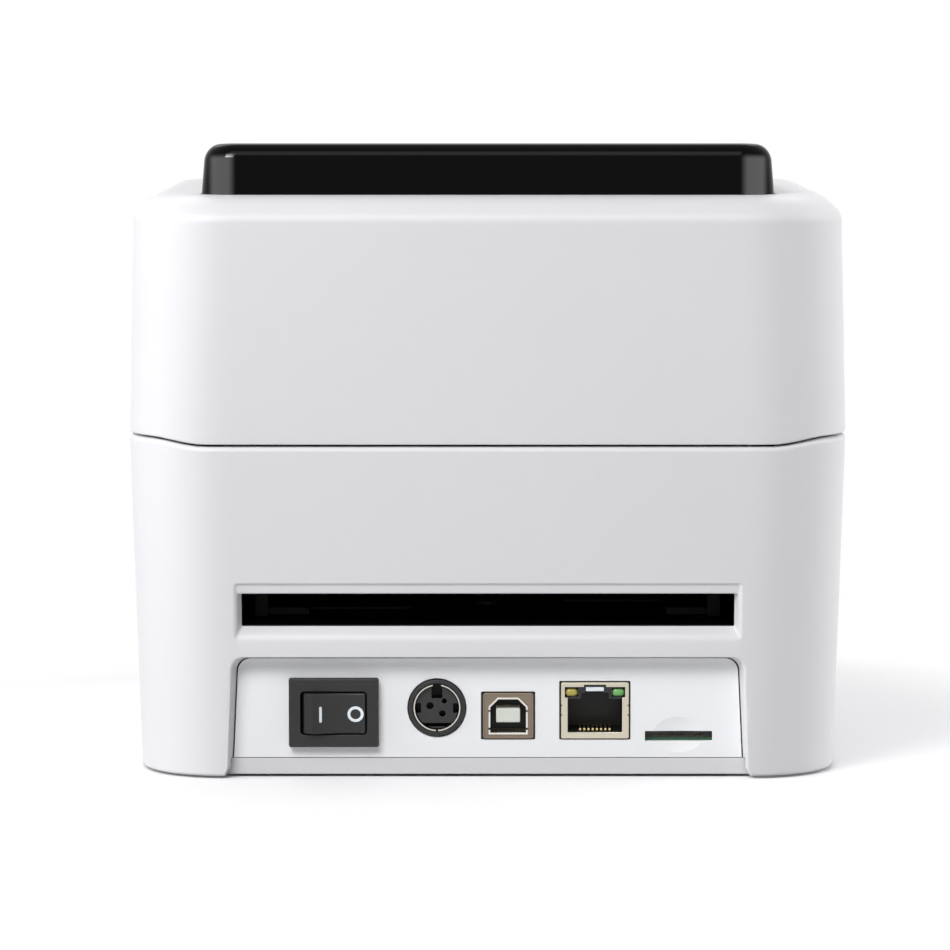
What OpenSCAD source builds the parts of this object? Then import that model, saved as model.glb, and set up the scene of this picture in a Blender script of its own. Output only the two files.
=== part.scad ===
// Desktop direct thermal label printer, clamshell body.
// Frame: front faces -Y, rear faces +Y, +Z up, table at z = 0, centred in X and Y.

/* [Housing] */
// Width of the body at the parting line
body_w = 172; // [168:1:184]
// Depth of the body from front to rear
body_d = 215; // [213:1:230]
// Height of the parting line above the table
seam_z = 79.8; // [79:0.1:86]
// Height of the flat lid top above the parting line
lid_h = 58.2; // [56:0.1:66]
// Wall thickness of the outer mouldings
wall = 2.5; // [2:0.1:3]
// Side draft of the base, run per unit of height
base_draft = 0.033; // [0.01:0.001:0.04]
// Side draft of the lid, run per unit of height
lid_draft = 0.0215; // [0.01:0.0005:0.03]
// Draft of the front and rear walls
end_draft = 0.01; // [0.004:0.001:0.015]
// Width of the rear corner blend, across the body
rear_corner_x = 17.5; // [15:0.5:20]
// Length of the rear corner blend, along the body
rear_corner_y = 29; // [22:1:34]
// Width of the front corner blend, across the body
front_corner_x = 20; // [17:0.5:22]
// Length of the front corner blend, along the body
front_corner_y = 24; // [20:1:28]
// Width of the leaning shoulder round the lid top
shoulder_w = 9; // [8:0.1:11]
// Height of the shoulder from its crease to the lid top
shoulder_h = 5.1; // [4:0.1:6.5]
// Open seam between base and lid
seam_gap = 0.5; // [0.4:0.05:0.8]
// Height above the seam where the lid front starts to lean back
front_break = 24; // [22:0.5:28]
// Run of the sloped lid front along the body
slope_run = 50; // [46:1:54]
// Height of the lowest edge of the base side walls above the table
skirt_z = 0.6; // [0.4:0.1:1.2]

/* [Window] */
// Distance from each side wall to the smoked window dome
window_side_gap = 17.9; // [17:0.1:21]
// Distance from the rear wall to the window
window_rear_gap = 9; // [8.5:0.1:12]
// Distance from the front wall to the window
window_front_gap = 64; // [63:1:74]
// Rise of the window above the lid top at the rear
window_rise = 12.3; // [9:0.1:14]
// Rise of the window above the lid top at the front
window_front_rise = 3.6; // [3:0.1:6]
// Wall thickness of the window
window_t = 2.4; // [2:0.1:3]
// Plan corner radius of the window
window_corner = 8; // [6:0.5:10]
// Edge rounding of the window
window_round = 4; // [3:0.25:5]

/* [Fan-fold slot] */
// Distance from each side of the roll bay to the end of the rear paper slot
slot_side_gap = 1.7; // [1:0.1:10]
// Height of the rear paper slot
slot_h = 8.3; // [6:0.1:9]
// Height of the slot's lower edge above the bay floor
slot_lift = 3.3; // [2.5:0.1:5]
// Width of the bevel round the slot
slot_bevel = 1.8; // [1:0.1:2.2]

/* [Rear panel] */
// Width of the connector panel at its top
panel_w = 119; // [117:0.5:121]
// Height of the connector panel's top above the table
panel_top = 28.5; // [27.5:0.1:29]
// Depth of the panel face behind the rear plane
panel_depth = 4.8; // [4.2:0.1:5.5]
// Thickness of the panel
panel_t = 2; // [1.6:0.1:2.4]
// Corner radius of the panel recess
panel_corner = 3.2; // [2:0.1:4]

/* [Sockets] */
// Centre of the rocker switch across the body
switch_x = 36.6; // [34:0.1:39]
// Centre of the rocker switch above the table
switch_z = 15.4; // [15.2:0.05:16]
// Width of the switch bezel
bezel_w = 21; // [20.5:0.1:21.5]
// Height of the switch bezel
bezel_h = 16.2; // [15:0.1:16.4]
// Width of the rocker
rocker_w = 15; // [14:0.1:15.5]
// Height of the rocker
rocker_h = 9.8; // [9:0.1:10.2]
// Tilt of the rocker each way
rocker_tilt = 10; // [8:0.5:11]
// Centre of the power socket across the body
dc_x = 12.1; // [11:0.1:14]
// Outer radius of the power socket
dc_r = 6.8; // [6.5:0.1:7]
// Centre of the square data socket across the body
usb_x = -4.8; // [-6:0.1:-4]
// Width of the square data socket
usb_w = 12.04; // [11.8:0.02:12.2]
// Height of the square data socket
usb_h = 10.9; // [10.7:0.1:11.2]
// Centre of the network socket across the body
lan_x = -25.4; // [-28:0.1:-24]
// Width of the network socket
lan_w = 16.1; // [15.8:0.1:16.4]
// Height of the network socket
lan_h = 13.4; // [13:0.1:13.8]
// Centre of the memory card slot across the body
card_x = -45.3; // [-47:0.1:-44.5]
// Width of the memory card slot
card_w = 16; // [15.5:0.1:16.5]

/* [Base] */
// Height of the base plate's underside above the table
plate_z = 1.9; // [1.7:0.1:2.6]
// Thickness of the base plate
plate_t = 2.6; // [2:0.1:3]
// Radius of the rubber feet
foot_r = 6; // [5:0.5:8]
// Height of the circuit board's underside above the base plate
board_lift = 3; // [2.8:0.1:3.4]
// Thickness of the circuit board
board_t = 1.6; // [1.2:0.1:2]
// Depth of the circuit board, measured forwards from the connector panel
board_d = 76.5; // [74:0.5:80]
// Overhang of the circuit board past each side of the connector panel
board_side = 2.5; // [1:0.1:3]
// Distance of the board screws from the board's side edges
standoff_inset = 6; // [5:0.1:7]
// Distance of the board screws from the board's front and rear edges
standoff_edge = 10; // [9:0.1:12]
// Distance of the base bosses from the side walls
boss_inset = 14; // [13.5:0.1:15]
// Distance of the end bosses from the front and rear walls
boss_end = 27.5; // [26:0.5:32]
// Distance of the feet from the side walls
foot_inset = 20; // [18:0.5:24]
// Distance of the feet from the front and rear walls
foot_end = 48.5; // [45:0.5:55]
// Radius of the screw bosses
boss_r = 3.5; // [3:0.1:4]
// Radius of the screw cores
screw_r = 1.25; // [1:0.05:1.5]
// Radius of the screw heads
head_r = 2.7; // [2.4:0.1:3]

/* [Media bay] */
// Width of the compartment between the roll bay and each side wall
side_room = 26; // [25:0.25:26.5]
// Height of the bay floor above the table
bay_floor = 33; // [32:0.1:34]
// Thickness of the tray moulding
tray_t = 2; // [1.6:0.1:2.4]
// Distance from the platen axis to the front of the roll bay
bay_front_gap = 56; // [54:0.5:60]
// Distance from each side of the bay to the open media guide
guide_room = 6; // [5:0.1:8]
// Travel of each media guide
guide_travel = 30; // [20:1:32]
// Thickness of a media guide
guide_t = 3; // [2.5:0.1:3.5]
// Radius of the roll hub that fits the paper core
hub_r = 11; // [9:0.5:12]
// Height of the roll centre above the bay floor
hub_lift = 57; // [50:1:60]
// Distance of the roll centre from the rear wall
roll_inset = 80.5; // [76:0.5:85]

/* [Platen and drive] */
// Radius of the platen roller
platen_r = 8; // [7:0.1:8.4]
// Distance from each side of the bay to the end of the platen rubber
platen_room = 5; // [4.5:0.1:8]
// Distance of the platen axis behind the front plane
platen_inset = 19.5; // [19:0.1:22]
// Radius of the platen journals
shaft_r = 3; // [2.5:0.1:3.5]
// Module of the drive gears
gear_module = 0.8; // [0.78:0.005:0.81]
// Teeth of the platen gear
platen_teeth = 28; // [26:1:29]
// Teeth of the large idler wheel
idler_teeth = 40; // [36:1:41]
// Teeth of the small idler wheel
idler_small_teeth = 14; // [13:1:16]
// Teeth of the motor pinion
pinion_teeth = 12; // [12:1:14]
// Face width of each gear
gear_face = 4; // [3:0.25:4.25]
// Side of the square stepper motor
motor_size = 35; // [32:0.5:35.2]
// Length of the stepper motor
motor_len = 26; // [20:1:34]
// Thickness of the steel side plates
plate_steel = 1.4; // [1:0.1:1.6]

/* [Lid mechanism] */
// Distance of the hinge axis in front of the rear plane
hinge_inset = 6.3; // [6.2:0.05:6.6]
// Rise of the hinge axis above the parting line
hinge_rise = 16.2; // [15.5:0.1:17]
// Radius of the hinge pins
hinge_pin_r = 1.5; // [1.2:0.05:1.6]
// Thickness of the hinge arms
arm_t = 5; // [4:0.1:5.5]
// Overhang of the print head past each end of the platen rubber
head_over = 1; // [0.5:0.1:1.5]
// Depth of the print head
head_d = 20; // [18:0.5:22]
// Distance of the latch pivots behind the front wall
latch_inset = 77.5; // [74:0.5:82]
// Distance of the lid liner's front wall behind the platen axis
liner_gap = 24; // [23:0.5:27]
// Distance of the head springs from the middle
spring_x = 34; // [28:1:40]
// Distance of the keys from the side wall
key_inset = 22; // [21:0.5:24]
// Distance between the two keys
key_pitch = 17; // [15:0.5:18]
// Distance from the lower key to the nearest status light
light_gap = 10; // [9:0.5:12]
// Distance between the status lights
light_pitch = 7; // [5:0.5:8]
// Radius of the key caps
key_r = 5.5; // [4.5:0.1:6]
// Travel of the keys
key_travel = 0.8; // [0.5:0.1:1]
// Radius of the status lights
light_r = 1.6; // [1.2:0.1:2]

/* [Clearances] */
// Radial clearance of a shaft in its bore
run_fit = 0.05; // [0.03:0.01:0.08]
// Clearance between bodies that move past each other
move_gap = 0.4; // [0.35:0.05:0.5]
// Clearance round a part that drops into an opening
drop_gap = 0.2; // [0.15:0.05:0.3]

/* [Hidden] */
$fn = 48;

white = [0.86, 0.86, 0.87];
charcoal = [0.16, 0.16, 0.17];
black = [0.06, 0.06, 0.065];
steel = [0.72, 0.73, 0.74];
nickel = [0.78, 0.75, 0.70];
gold = [0.85, 0.68, 0.32];
board_green = [0.07, 0.32, 0.18];
key_grey = [0.55, 0.57, 0.6];

eps = 0.02;
cut = 1;
corner_steps = 8;

rear_y = body_d / 2;
front_y = -body_d / 2;
lid_z0 = seam_z + seam_gap / 2;
base_z1 = seam_z - seam_gap / 2;
lid_top = seam_z + lid_h;
break_z = seam_z + front_break;
slope_k = slope_run / (lid_top - break_z);
slope_deg = atan(1 / slope_k);
break_blend = 7;

hinge_y = rear_y - hinge_inset;
hinge_z = seam_z + hinge_rise;
relief_r = norm([hinge_inset, hinge_rise - seam_gap / 2]) + move_gap;
knuckle_r = hinge_inset - wall - end_draft * hinge_rise - move_gap;

panel_y = rear_y - panel_depth;
plate_top = plate_z + plate_t;
board_z = plate_top + board_lift;
board_top = board_z + board_t;
board_rear = panel_y - panel_t - drop_gap;
board_front = board_rear - board_d;
board_x = panel_w / 2 + board_side;
standoff_x = board_x - standoff_inset;
standoff_ys = [board_front + standoff_edge, board_rear - standoff_edge];

bay_w = body_w - 2 * side_room;
media_w = bay_w - 2 * guide_room;
slot_w = bay_w - 2 * slot_side_gap;
tray_side = bay_w / 2 + tray_t;
tray_top = hinge_z - relief_r - move_gap;
tray_rear = rear_y - wall - (seam_z - bay_floor) * end_draft - move_gap;
roll_y = rear_y - roll_inset;

platen_y = front_y + platen_inset;
platen_len = bay_w - 2 * platen_room;
head_w = platen_len + 2 * head_over;
bay_front = platen_y + bay_front_gap;
platen_z = seam_z + 0.2 - platen_r;
paper_z = platen_z + platen_r;

side_plate_x = tray_side + 0.5;
gear_x = side_plate_x + plate_steel + 1;
gear_gap = 0.6;

// ---------------------------------------------------------------- helpers

// Points of an elliptical arc about (cx, cy)
function arc_points(cx, cy, rx, ry, a0, a1, n) =
    [for (i = [0:n]) let(a = a0 + (a1 - a0) * i / n) [cx + rx * cos(a), cy + ry * sin(a)]];

// Closed plan outline with elliptical corner blends, counter-clockwise from above
function plan(hw, yf, yr, fx, fy, rx, ry) = concat(
    arc_points(hw - rx, yr - ry, rx, ry, 0, 90, corner_steps),
    arc_points(rx - hw, yr - ry, rx, ry, 90, 180, corner_steps),
    arc_points(fx - hw, yf + fy, fx, fy, 180, 270, corner_steps),
    arc_points(hw - fx, yf + fy, fx, fy, 270, 360, corner_steps));

function at_height(points, z) = [for (p = points) [p[0], p[1], z]];

// Solid skin through a stack of rings with equal point counts
module loft(rings) {
    n = len(rings[0]);
    m = len(rings);
    polyhedron(
        points = [for (r = rings) each r],
        faces = concat(
            [[for (i = [0:n - 1]) i]],
            [[for (i = [n - 1:-1:0]) (m - 1) * n + i]],
            [for (k = [0:m - 2]) for (i = [0:n - 1]) let(j = (i + 1) % n)
                each [[k * n + i, (k + 1) * n + i, (k + 1) * n + j],
                      [k * n + i, (k + 1) * n + j, k * n + j]]]));
}

// Profile drawn in (y, z), pulled along X from x0 to x1
module pull_x(x0, x1) {
    translate([x0, 0, 0]) rotate([90, 0, 90]) linear_extrude(x1 - x0) children();
}

// Profile drawn in (x, z), pulled along Y from y0 to y1
module pull_y(y0, y1) {
    translate([0, y1, 0]) rotate([90, 0, 0]) linear_extrude(y1 - y0) children();
}

module rod_x(x0, x1, y, z, r) {
    translate([x0, y, z]) rotate([0, 90, 0]) cylinder(r = r, h = x1 - x0);
}

module rod_y(y0, y1, x, z, r) {
    translate([x, y1, z]) rotate([90, 0, 0]) cylinder(r = r, h = y1 - y0);
}

module block(x0, x1, y0, y1, z0, z1) {
    translate([x0, y0, z0]) cube([x1 - x0, y1 - y0, z1 - z0]);
}

module round_rect(x0, x1, y0, y1, r) {
    translate([x0 + r, y0 + r]) offset(r) square([x1 - x0 - 2 * r, y1 - y0 - 2 * r]);
}

module both_sides() {
    children();
    mirror([1, 0, 0]) children();
}

// ---------------------------------------------------------------- outer shapes

function base_ring(z, inset) = let(h = seam_z - z)
    at_height(plan(body_w / 2 - h * base_draft - inset,
        front_y + h * end_draft + inset, rear_y - h * end_draft - inset,
        front_corner_x - inset, front_corner_y - inset,
        rear_corner_x - inset, rear_corner_y - inset), z);

// Lid front line: upright below the break, a soft bend, then a straight slope
function lid_front(z) = let(t = z - break_z, b = break_blend)
    front_y + (min(z, break_z) - seam_z) * end_draft
    + (t < -b ? 0 : t > b ? t * slope_k : slope_k * pow(t + b, 2) / (4 * b));

function lid_ring(z, inset, lift) = let(h = z - seam_z)
    at_height(plan(body_w / 2 - h * lid_draft - inset,
        lid_front(z + lift) + inset, rear_y - h * end_draft - inset,
        front_corner_x - min(inset, wall), front_corner_y - min(inset, wall),
        rear_corner_x - min(inset, wall), rear_corner_y - min(inset, wall)), z);

edge_round = 0.7;

module base_outer() {
    loft([base_ring(skirt_z, edge_round), base_ring(skirt_z + edge_round, 0.1),
        base_ring(base_z1 - edge_round, 0), base_ring(base_z1 - edge_round * 0.3, edge_round * 0.3),
        base_ring(base_z1, edge_round)]);
}

module base_inner() {
    loft([base_ring(skirt_z - cut, wall), base_ring(base_z1 + cut, wall)]);
}

// Cubic curve through four control values
function curve(t, p) = pow(1 - t, 3) * p[0] + 3 * t * pow(1 - t, 2) * p[1]
    + 3 * t * t * (1 - t) * p[2] + pow(t, 3) * p[3];

// The shoulder leaves the wall at a crisp crease and runs level into the lid top
shoulder_steps = 6;
shoulder_rise = [0, 0.78, 1, 1];
shoulder_lean = [0, 0.38, 0.55, 1];
lid_bend = [for (k = [-1:0.5:1]) [break_z + k * break_blend, 0]];
lid_shoulder = [for (i = [0:shoulder_steps]) let(t = i / shoulder_steps)
    [lid_top - shoulder_h * (1 - curve(t, shoulder_rise)), shoulder_w * curve(t, shoulder_lean)]];

module lid_outer() {
    loft([for (s = concat([[lid_z0, edge_round], [lid_z0 + edge_round, 0]], lid_bend,
        lid_shoulder)) lid_ring(s[0], s[1], 0)]);
}

ceiling_z = lid_top - wall;
module lid_inner() {
    shoulder_z = lid_top - shoulder_h - wall * 0.3;
    steps = concat([[lid_z0 - cut, wall]], [for (s = lid_bend) [s[0] - wall / 2, wall]],
        [[shoulder_z, wall], [(shoulder_z + ceiling_z) / 2 + 0.4, wall + shoulder_w * 0.25],
         [ceiling_z, wall + shoulder_w * 0.62]]);
    loft([for (s = steps) lid_ring(s[0], s[1], wall / 2)]);
}

// ---------------------------------------------------------------- base

slot_z0 = bay_floor + slot_lift;
slot_z1 = slot_z0 + slot_h;
mouth_side = 2;
mouth_w = bay_w - 2 * mouth_side;
mouth_h = 6.2;
lip_z = seam_z - 1.4;
boss_x = body_w / 2 - boss_inset;
boss_ys = [front_y + boss_end, 0, rear_y - boss_end];
boss_top = bay_floor - tray_t;

// Bevelled mouth of the paper slot
module slot_cut() {
    x = slot_w / 2;
    b = slot_bevel;
    face_y = rear_y - (seam_z - slot_z0) * end_draft;
    ring = function(g) [[x + g, slot_z0 - g * 0.7], [x + g, slot_z1 + g],
        [-x - g, slot_z1 + g], [-x - g, slot_z0 - g * 0.7]];
    rotate([90, 0, 0]) loft([at_height(ring(b * 1.4), -face_y - b * 0.4),
        at_height(ring(0), -face_y + b), at_height(ring(0), -tray_rear + tray_t + cut)]);
}

recess_flare = 1;
panel_skew = 1.2;

// Outline of the connector panel in (x, z), grown by g; it widens towards the table
function panel_outline(g) = let(x = panel_w / 2 + g, c = panel_corner)
    concat(arc_points(x - c, panel_top - c + g * 0.4, c, c, 0, 90, 6),
        arc_points(c - x, panel_top - c + g * 0.4, c, c, 90, 180, 6),
        [[-x - panel_skew, -cut], [x + panel_skew, -cut]]);

frame_side = 4;
frame_rise = 2.2;
latch_y = front_y + latch_inset;
latch_z = seam_z - 20;
pad_y0 = latch_y - 12;
pad_y1 = latch_y + 8;
pad_z0 = seam_z - 16;
pad_z1 = seam_z - 4;
lever_x = body_w / 2 - 9.5;
lever_t = 3;

module lower_housing() {
    frame_w = panel_w / 2 + frame_side;
    color(white) difference() {
        union() {
            difference() {
                base_outer();
                base_inner();
            }
            block(-frame_w, frame_w, panel_y - panel_t, rear_y - wall / 2,
                plate_top + drop_gap, panel_top + frame_rise);
            both_sides() {
                for (y = boss_ys) {
                    translate([boss_x, y, plate_top])
                        cylinder(r = boss_r, h = boss_top - plate_top);
                    block(boss_x, body_w / 2 - wall, y - 0.8, y + 0.8, plate_top, boss_top - 2);
                }
                rod_x(lever_x - 1, body_w / 2 - wall, latch_y, latch_z, 2);
                rod_x(lever_x + lever_t + move_gap, body_w / 2 - wall, latch_y, latch_z, 4);
            }
        }
        slot_cut();
        rotate([90, 0, 0]) loft([at_height(panel_outline(recess_flare * 1.2), -rear_y - cut),
            at_height(panel_outline(0), -panel_y),
            at_height(panel_outline(0), -panel_y + panel_t + cut)]);
        block(-mouth_w / 2, mouth_w / 2, front_y - cut, front_y + 3 * wall, lip_z, seam_z + cut);
        both_sides() block(body_w / 2 - 2.5 * wall, body_w / 2 + cut, pad_y0, pad_y1,
            pad_z0, pad_z1);
        rod_x(-body_w, body_w, hinge_y, hinge_z, relief_r);
        both_sides() for (y = boss_ys) translate([boss_x, y, plate_top - cut])
            cylinder(r = screw_r, h = boss_top - plate_top + 2 * cut);
    }
}

foot_x = body_w / 2 - foot_inset;
foot_ys = [front_y + foot_end, rear_y - foot_end];
foot_seat = 0.6;

// Places children at the four board screws
module at_standoffs(z) {
    for (x = [-standoff_x, standoff_x]) for (y = standoff_ys) translate([x, y, z]) children();
}

vent_w = 2;
vent_pitch = 5;
vent_y = [-10, 22];
module base_plate() {
    g = wall + drop_gap;
    color(white) difference() {
        union() {
            translate([0, 0, plate_z]) linear_extrude(plate_t) intersection() {
                polygon([for (p = base_ring(plate_z, g)) [p[0], p[1]]]);
                translate([-body_w / 2, front_y]) square([body_w, panel_y - front_y]);
            }
            at_standoffs(plate_top - eps) cylinder(r = boss_r - 0.5, h = board_lift + eps);
        }
        both_sides() for (y = boss_ys) translate([boss_x, y, 0]) {
            cylinder(r = screw_r + 0.4, h = plate_top + cut);
            cylinder(r = head_r + drop_gap, h = plate_z + 1.2);
        }
        both_sides() for (y = foot_ys) translate([foot_x, y, 0])
            cylinder(r = foot_r + 0.1, h = plate_z + foot_seat);
        at_standoffs(plate_z - cut) cylinder(r = screw_r, h = plate_t + board_lift + 2 * cut);
        for (i = [-7:7]) translate([i * vent_pitch, 0, 0])
            block(-vent_w / 2, vent_w / 2, vent_y[0], vent_y[1], 0, plate_top + cut);
    }
}

module rubber_feet() {
    color(charcoal) both_sides() for (y = foot_ys) translate([foot_x, y, 0]) {
        cylinder(r1 = foot_r - 0.6, r2 = foot_r, h = 0.8);
        translate([0, 0, 0.8]) cylinder(r = foot_r, h = plate_z + foot_seat - 0.8);
    }
}

// Pan-head screw with its head's bearing face at z = 0 and its core upwards
module screw(core, length) {
    difference() {
        union() {
            translate([0, 0, -1.6]) cylinder(r = head_r, h = 1.6);
            cylinder(r = core, h = length);
        }
        translate([0, 0, -1.6 - eps]) for (a = [0, 90]) rotate(a)
            translate([-1.6, -0.3, 0]) cube([3.2, 0.6, 1]);
    }
}

module base_screws() {
    color(steel) {
        both_sides() for (y = boss_ys) translate([boss_x, y, plate_z + 1.2])
            screw(screw_r - 0.02, 10);
    }
}

card_z0 = board_top - 0.6;
card_z1 = board_top + 1.8;
module rear_panel() {
    g = drop_gap;
    color(white) difference() {
        pull_y(panel_y - panel_t, panel_y) difference() {
            offset(delta = -0.15) polygon(panel_outline(0));
            translate([-body_w, -2 * cut]) square([2 * body_w, plate_top + 2 * cut + 0.15]);
            translate([switch_x, switch_z])
                square([bezel_w - 1.8 + 2 * g, bezel_h - 1.8 + 2 * g], center = true);
            translate([dc_x, dc_z]) circle(r = dc_r + g);
            translate([usb_x, usb_z]) square([usb_w + 4 * g, usb_h + 2 * g], center = true);
            translate([lan_x, lan_z]) square([lan_w + 2 * g, lan_h + 2 * g], center = true);
            translate([card_x - card_w / 2, card_z0]) square([card_w, card_z1 - card_z0]);
        }
        translate([card_x, panel_y + 2.2, card_z1 - 0.6]) sphere(r = 3.2);
    }
}

module main_board() {
    notch = bezel_w / 2 + drop_gap;
    color(board_green) difference() {
        block(-board_x, board_x, board_front, board_rear, board_z, board_top);
        block(switch_x - notch, switch_x + notch, panel_y - switch_depth - 2,
            board_rear + cut, board_z - cut, board_top + cut);
        at_standoffs(board_z - cut) cylinder(r = screw_r + 0.3, h = board_t + 2 * cut);
    }
}

// Square chips as [x, distance from the board's front edge, side, height]
chips = [[0, 32, 16, 1.6], [28, 26, 12, 1.4], [-28, 28, 12, 1.2]];
// Upright capacitors and the coil as [x, distance from the front edge, radius, height]
cans = [[26, 48, 4, 11], [38, 48, 4, 11], [50, 48, 4, 11], [44, 28, 5.5, 6]];
// Cable headers along the front edge as [x, width, depth]
headers = [[-44, 9, 6], [-32, 9, 6], [-20, 9, 6], [10, 24, 5]];
header_h = 6;
header_edge = 4;

module board_parts() {
    color(charcoal) translate([0, board_front, board_top]) {
        for (c = chips) block(c[0] - c[2] / 2, c[0] + c[2] / 2, c[1] - c[2] / 2, c[1] + c[2] / 2,
            0, c[3]);
        for (c = cans) translate([c[0], c[1], 0]) cylinder(r = c[2], h = c[3]);
        for (h = headers) block(h[0] - h[1] / 2, h[0] + h[1] / 2, header_edge,
            header_edge + h[2], 0, header_h);
        for (x = [-50, -42, -16, 14]) block(x - 1.6, x + 1.6, 42, 44, 0, 1);
    }
}

module board_screws() {
    color(steel) at_standoffs(board_top) mirror([0, 0, 1])
        screw(screw_r - 0.02, board_t + board_lift);
}

// ---------------------------------------------------------------- sockets

bezel_t = 2;
switch_depth = 13;
rocker_y = panel_y + 0.6;
module switch_body() {
    zc = switch_z;
    px = rocker_w / 2 + 0.4;
    pz = rocker_h / 2 + 0.35;
    color(charcoal) difference() {
        union() {
            pull_y(panel_y, panel_y + bezel_t) translate([switch_x, zc])
                square([bezel_w, bezel_h], center = true);
            pull_y(panel_y - switch_depth, panel_y) translate([switch_x, zc])
                square([bezel_w - 1.8, bezel_h - 1.8], center = true);
        }
        pull_y(panel_y - switch_depth + 1.5, panel_y + bezel_t + cut)
            translate([switch_x, zc]) square([2 * px, 2 * pz], center = true);
        translate([switch_x, rocker_y, zc - bezel_h / 2 + 1.2])
            cylinder(r = 1.2 + run_fit, h = bezel_h - 2.4);
    }
}

module switch_rocker() {
    w = rocker_w / 2;
    h = rocker_h / 2;
    color(black) translate([switch_x, rocker_y, switch_z]) rotate([0, 0, rocker_tilt]) {
        translate([0, 0, -h]) linear_extrude(rocker_h) polygon([[-w + 0.1, -2],
            [-w, 1.4], [-w + 1.6, 3.1], [0, 1.7], [w - 1.6, 3.1], [w, 1.4], [w - 0.1, -2],
            [0, -5]]);
        translate([0, 0, -h - 1]) cylinder(r = 1.2, h = rocker_h + 2);
    }
}

module switch_terminals() {
    y1 = panel_y - switch_depth;
    color(gold) for (x = [-5, 5]) block(switch_x + x - 0.4, switch_x + x + 0.4, y1 - 8, y1,
        switch_z - 2.3, switch_z + 2.3);
}

dc_z = board_top + dc_r + 0.6;
dc_depth = 12;
module dc_socket() {
    y1 = panel_y + 0.5;
    y0 = y1 - dc_depth;
    ring_r = 5.5;
    color(black) difference() {
        union() {
            rod_y(y0, y1, dc_x, dc_z, dc_r);
            block(dc_x - dc_r + 0.3, dc_x + dc_r - 0.3, y0 - 3, panel_y - panel_t - drop_gap,
                board_top, dc_z + 4);
        }
        difference() {
            rod_y(y0 + 3, y1 + cut, dc_x, dc_z, ring_r + 0.2);
            rod_y(y0, y1 - 0.8, dc_x, dc_z, 4.5);
        }
        for (p = [[1.4, 0.4], [-1.7, 1.5], [-1.2, -1.6]])
            rod_y(y1 - 6, y1 + cut, dc_x + p[0], dc_z + p[1], 0.83);
        block(dc_x - 0.9, dc_x + 0.9, y1 - 5, y1 + cut, dc_z + 2.9, dc_z + 4.5);
    }
}

module dc_shield() {
    y1 = panel_y + 0.3;
    color(nickel) difference() {
        rod_y(y1 - 8, y1, dc_x, dc_z, 5.6);
        rod_y(y1 - 8 - cut, y1 + cut, dc_x, dc_z, 5.25);
        block(dc_x - 1.3, dc_x + 1.3, y1 - 9, y1 + cut, dc_z + 4, dc_z + 7);
    }
}

usb_z = board_top + usb_h / 2 + run_fit;
usb_depth = 16;
module usb_mouth(g) {
    w = 4.7 + g;
    polygon([[-w, -4.7 - g], [w, -4.7 - g], [w, 2.2 + g], [w - 2.3, 4.35 + g],
        [2.3 - w, 4.35 + g], [-w, 2.2 + g]]);
}

module usb_shell() {
    y1 = panel_y + 0.3;
    color(nickel) difference() {
        pull_y(y1 - usb_depth, y1) translate([usb_x, usb_z])
            square([usb_w, usb_h], center = true);
        pull_y(y1 - usb_depth + 0.8, y1 - 0.5) translate([usb_x, usb_z])
            square([usb_w - 0.8, usb_h - 0.8], center = true);
        pull_y(y1 - 2, y1 + cut) translate([usb_x, usb_z]) usb_mouth(0);
    }
}

module usb_insert() {
    y1 = panel_y - 0.25;
    color([0.92, 0.92, 0.9]) {
        difference() {
            pull_y(y1 - usb_depth + 1.4, y1) translate([usb_x, usb_z])
                square([usb_w - 1, usb_h - 1], center = true);
            pull_y(y1 - 9, y1 + cut) translate([usb_x, usb_z]) usb_mouth(0.05);
        }
        block(usb_x - 2.8, usb_x + 2.8, y1 - 9.1, y1 - 0.4, usb_z - 1.65, usb_z + 1.65);
    }
}

lan_z = board_top + lan_h / 2 + run_fit;
lan_depth = 16;
lan_cavity_w = 12.9;
module lan_cavity(g) {
    w = lan_cavity_w / 2 + g;
    z0 = -lan_h / 2 + 1.6 - g;
    z1 = 2.6 + g;
    polygon([[-w, z0], [w, z0], [w, z1], [3.2, z1], [3.2, z1 + 1.6], [2, z1 + 1.6],
        [2, z1 + 2.8], [-2, z1 + 2.8], [-2, z1 + 1.6], [-3.2, z1 + 1.6], [-3.2, z1], [-w, z1]]);
}

module lan_shell() {
    y1 = panel_y + 0.3;
    color(nickel) difference() {
        pull_y(y1 - lan_depth, y1) translate([lan_x, lan_z])
            square([lan_w, lan_h], center = true);
        pull_y(y1 - lan_depth + 0.4, y1 - 0.3) translate([lan_x, lan_z])
            square([lan_w - 0.6, lan_h - 0.6], center = true);
        pull_y(y1 - 2, y1 + cut) translate([lan_x, lan_z]) {
            lan_cavity(0.1);
            for (s = [-1, 1]) translate([s * 5.75 - 1.5, 3.2]) square([3, 2.1]);
        }
    }
}

module lan_insert() {
    y1 = panel_y - 0.05;
    color(black) difference() {
        pull_y(y1 - lan_depth + 1, y1) translate([lan_x, lan_z])
            square([lan_w - 0.7, lan_h - 0.7], center = true);
        pull_y(y1 - 12, y1 + cut) translate([lan_x, lan_z]) lan_cavity(0);
        for (s = [-1, 1]) block(lan_x + s * 5.75 - 1.45, lan_x + s * 5.75 + 1.45, y1 - 8,
            y1 + cut, lan_z + 3.25, lan_z + 5.25);
    }
}

module lan_contacts() {
    y1 = panel_y - 0.05;
    z0 = lan_z - lan_h / 2 + 1.6;
    color(gold) for (i = [-3.5:3.5]) pull_x(lan_x + i * 1.02 - 0.2, lan_x + i * 1.02 + 0.2)
        polygon([[y1 - 1.4, z0], [y1 - 1.4, z0 + 0.5], [y1 - 8, z0 + 3.2], [y1 - 8.6, z0 + 3],
            [y1 - 2.4, z0 + 0.2], [y1 - 2.4, z0]]);
}

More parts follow.
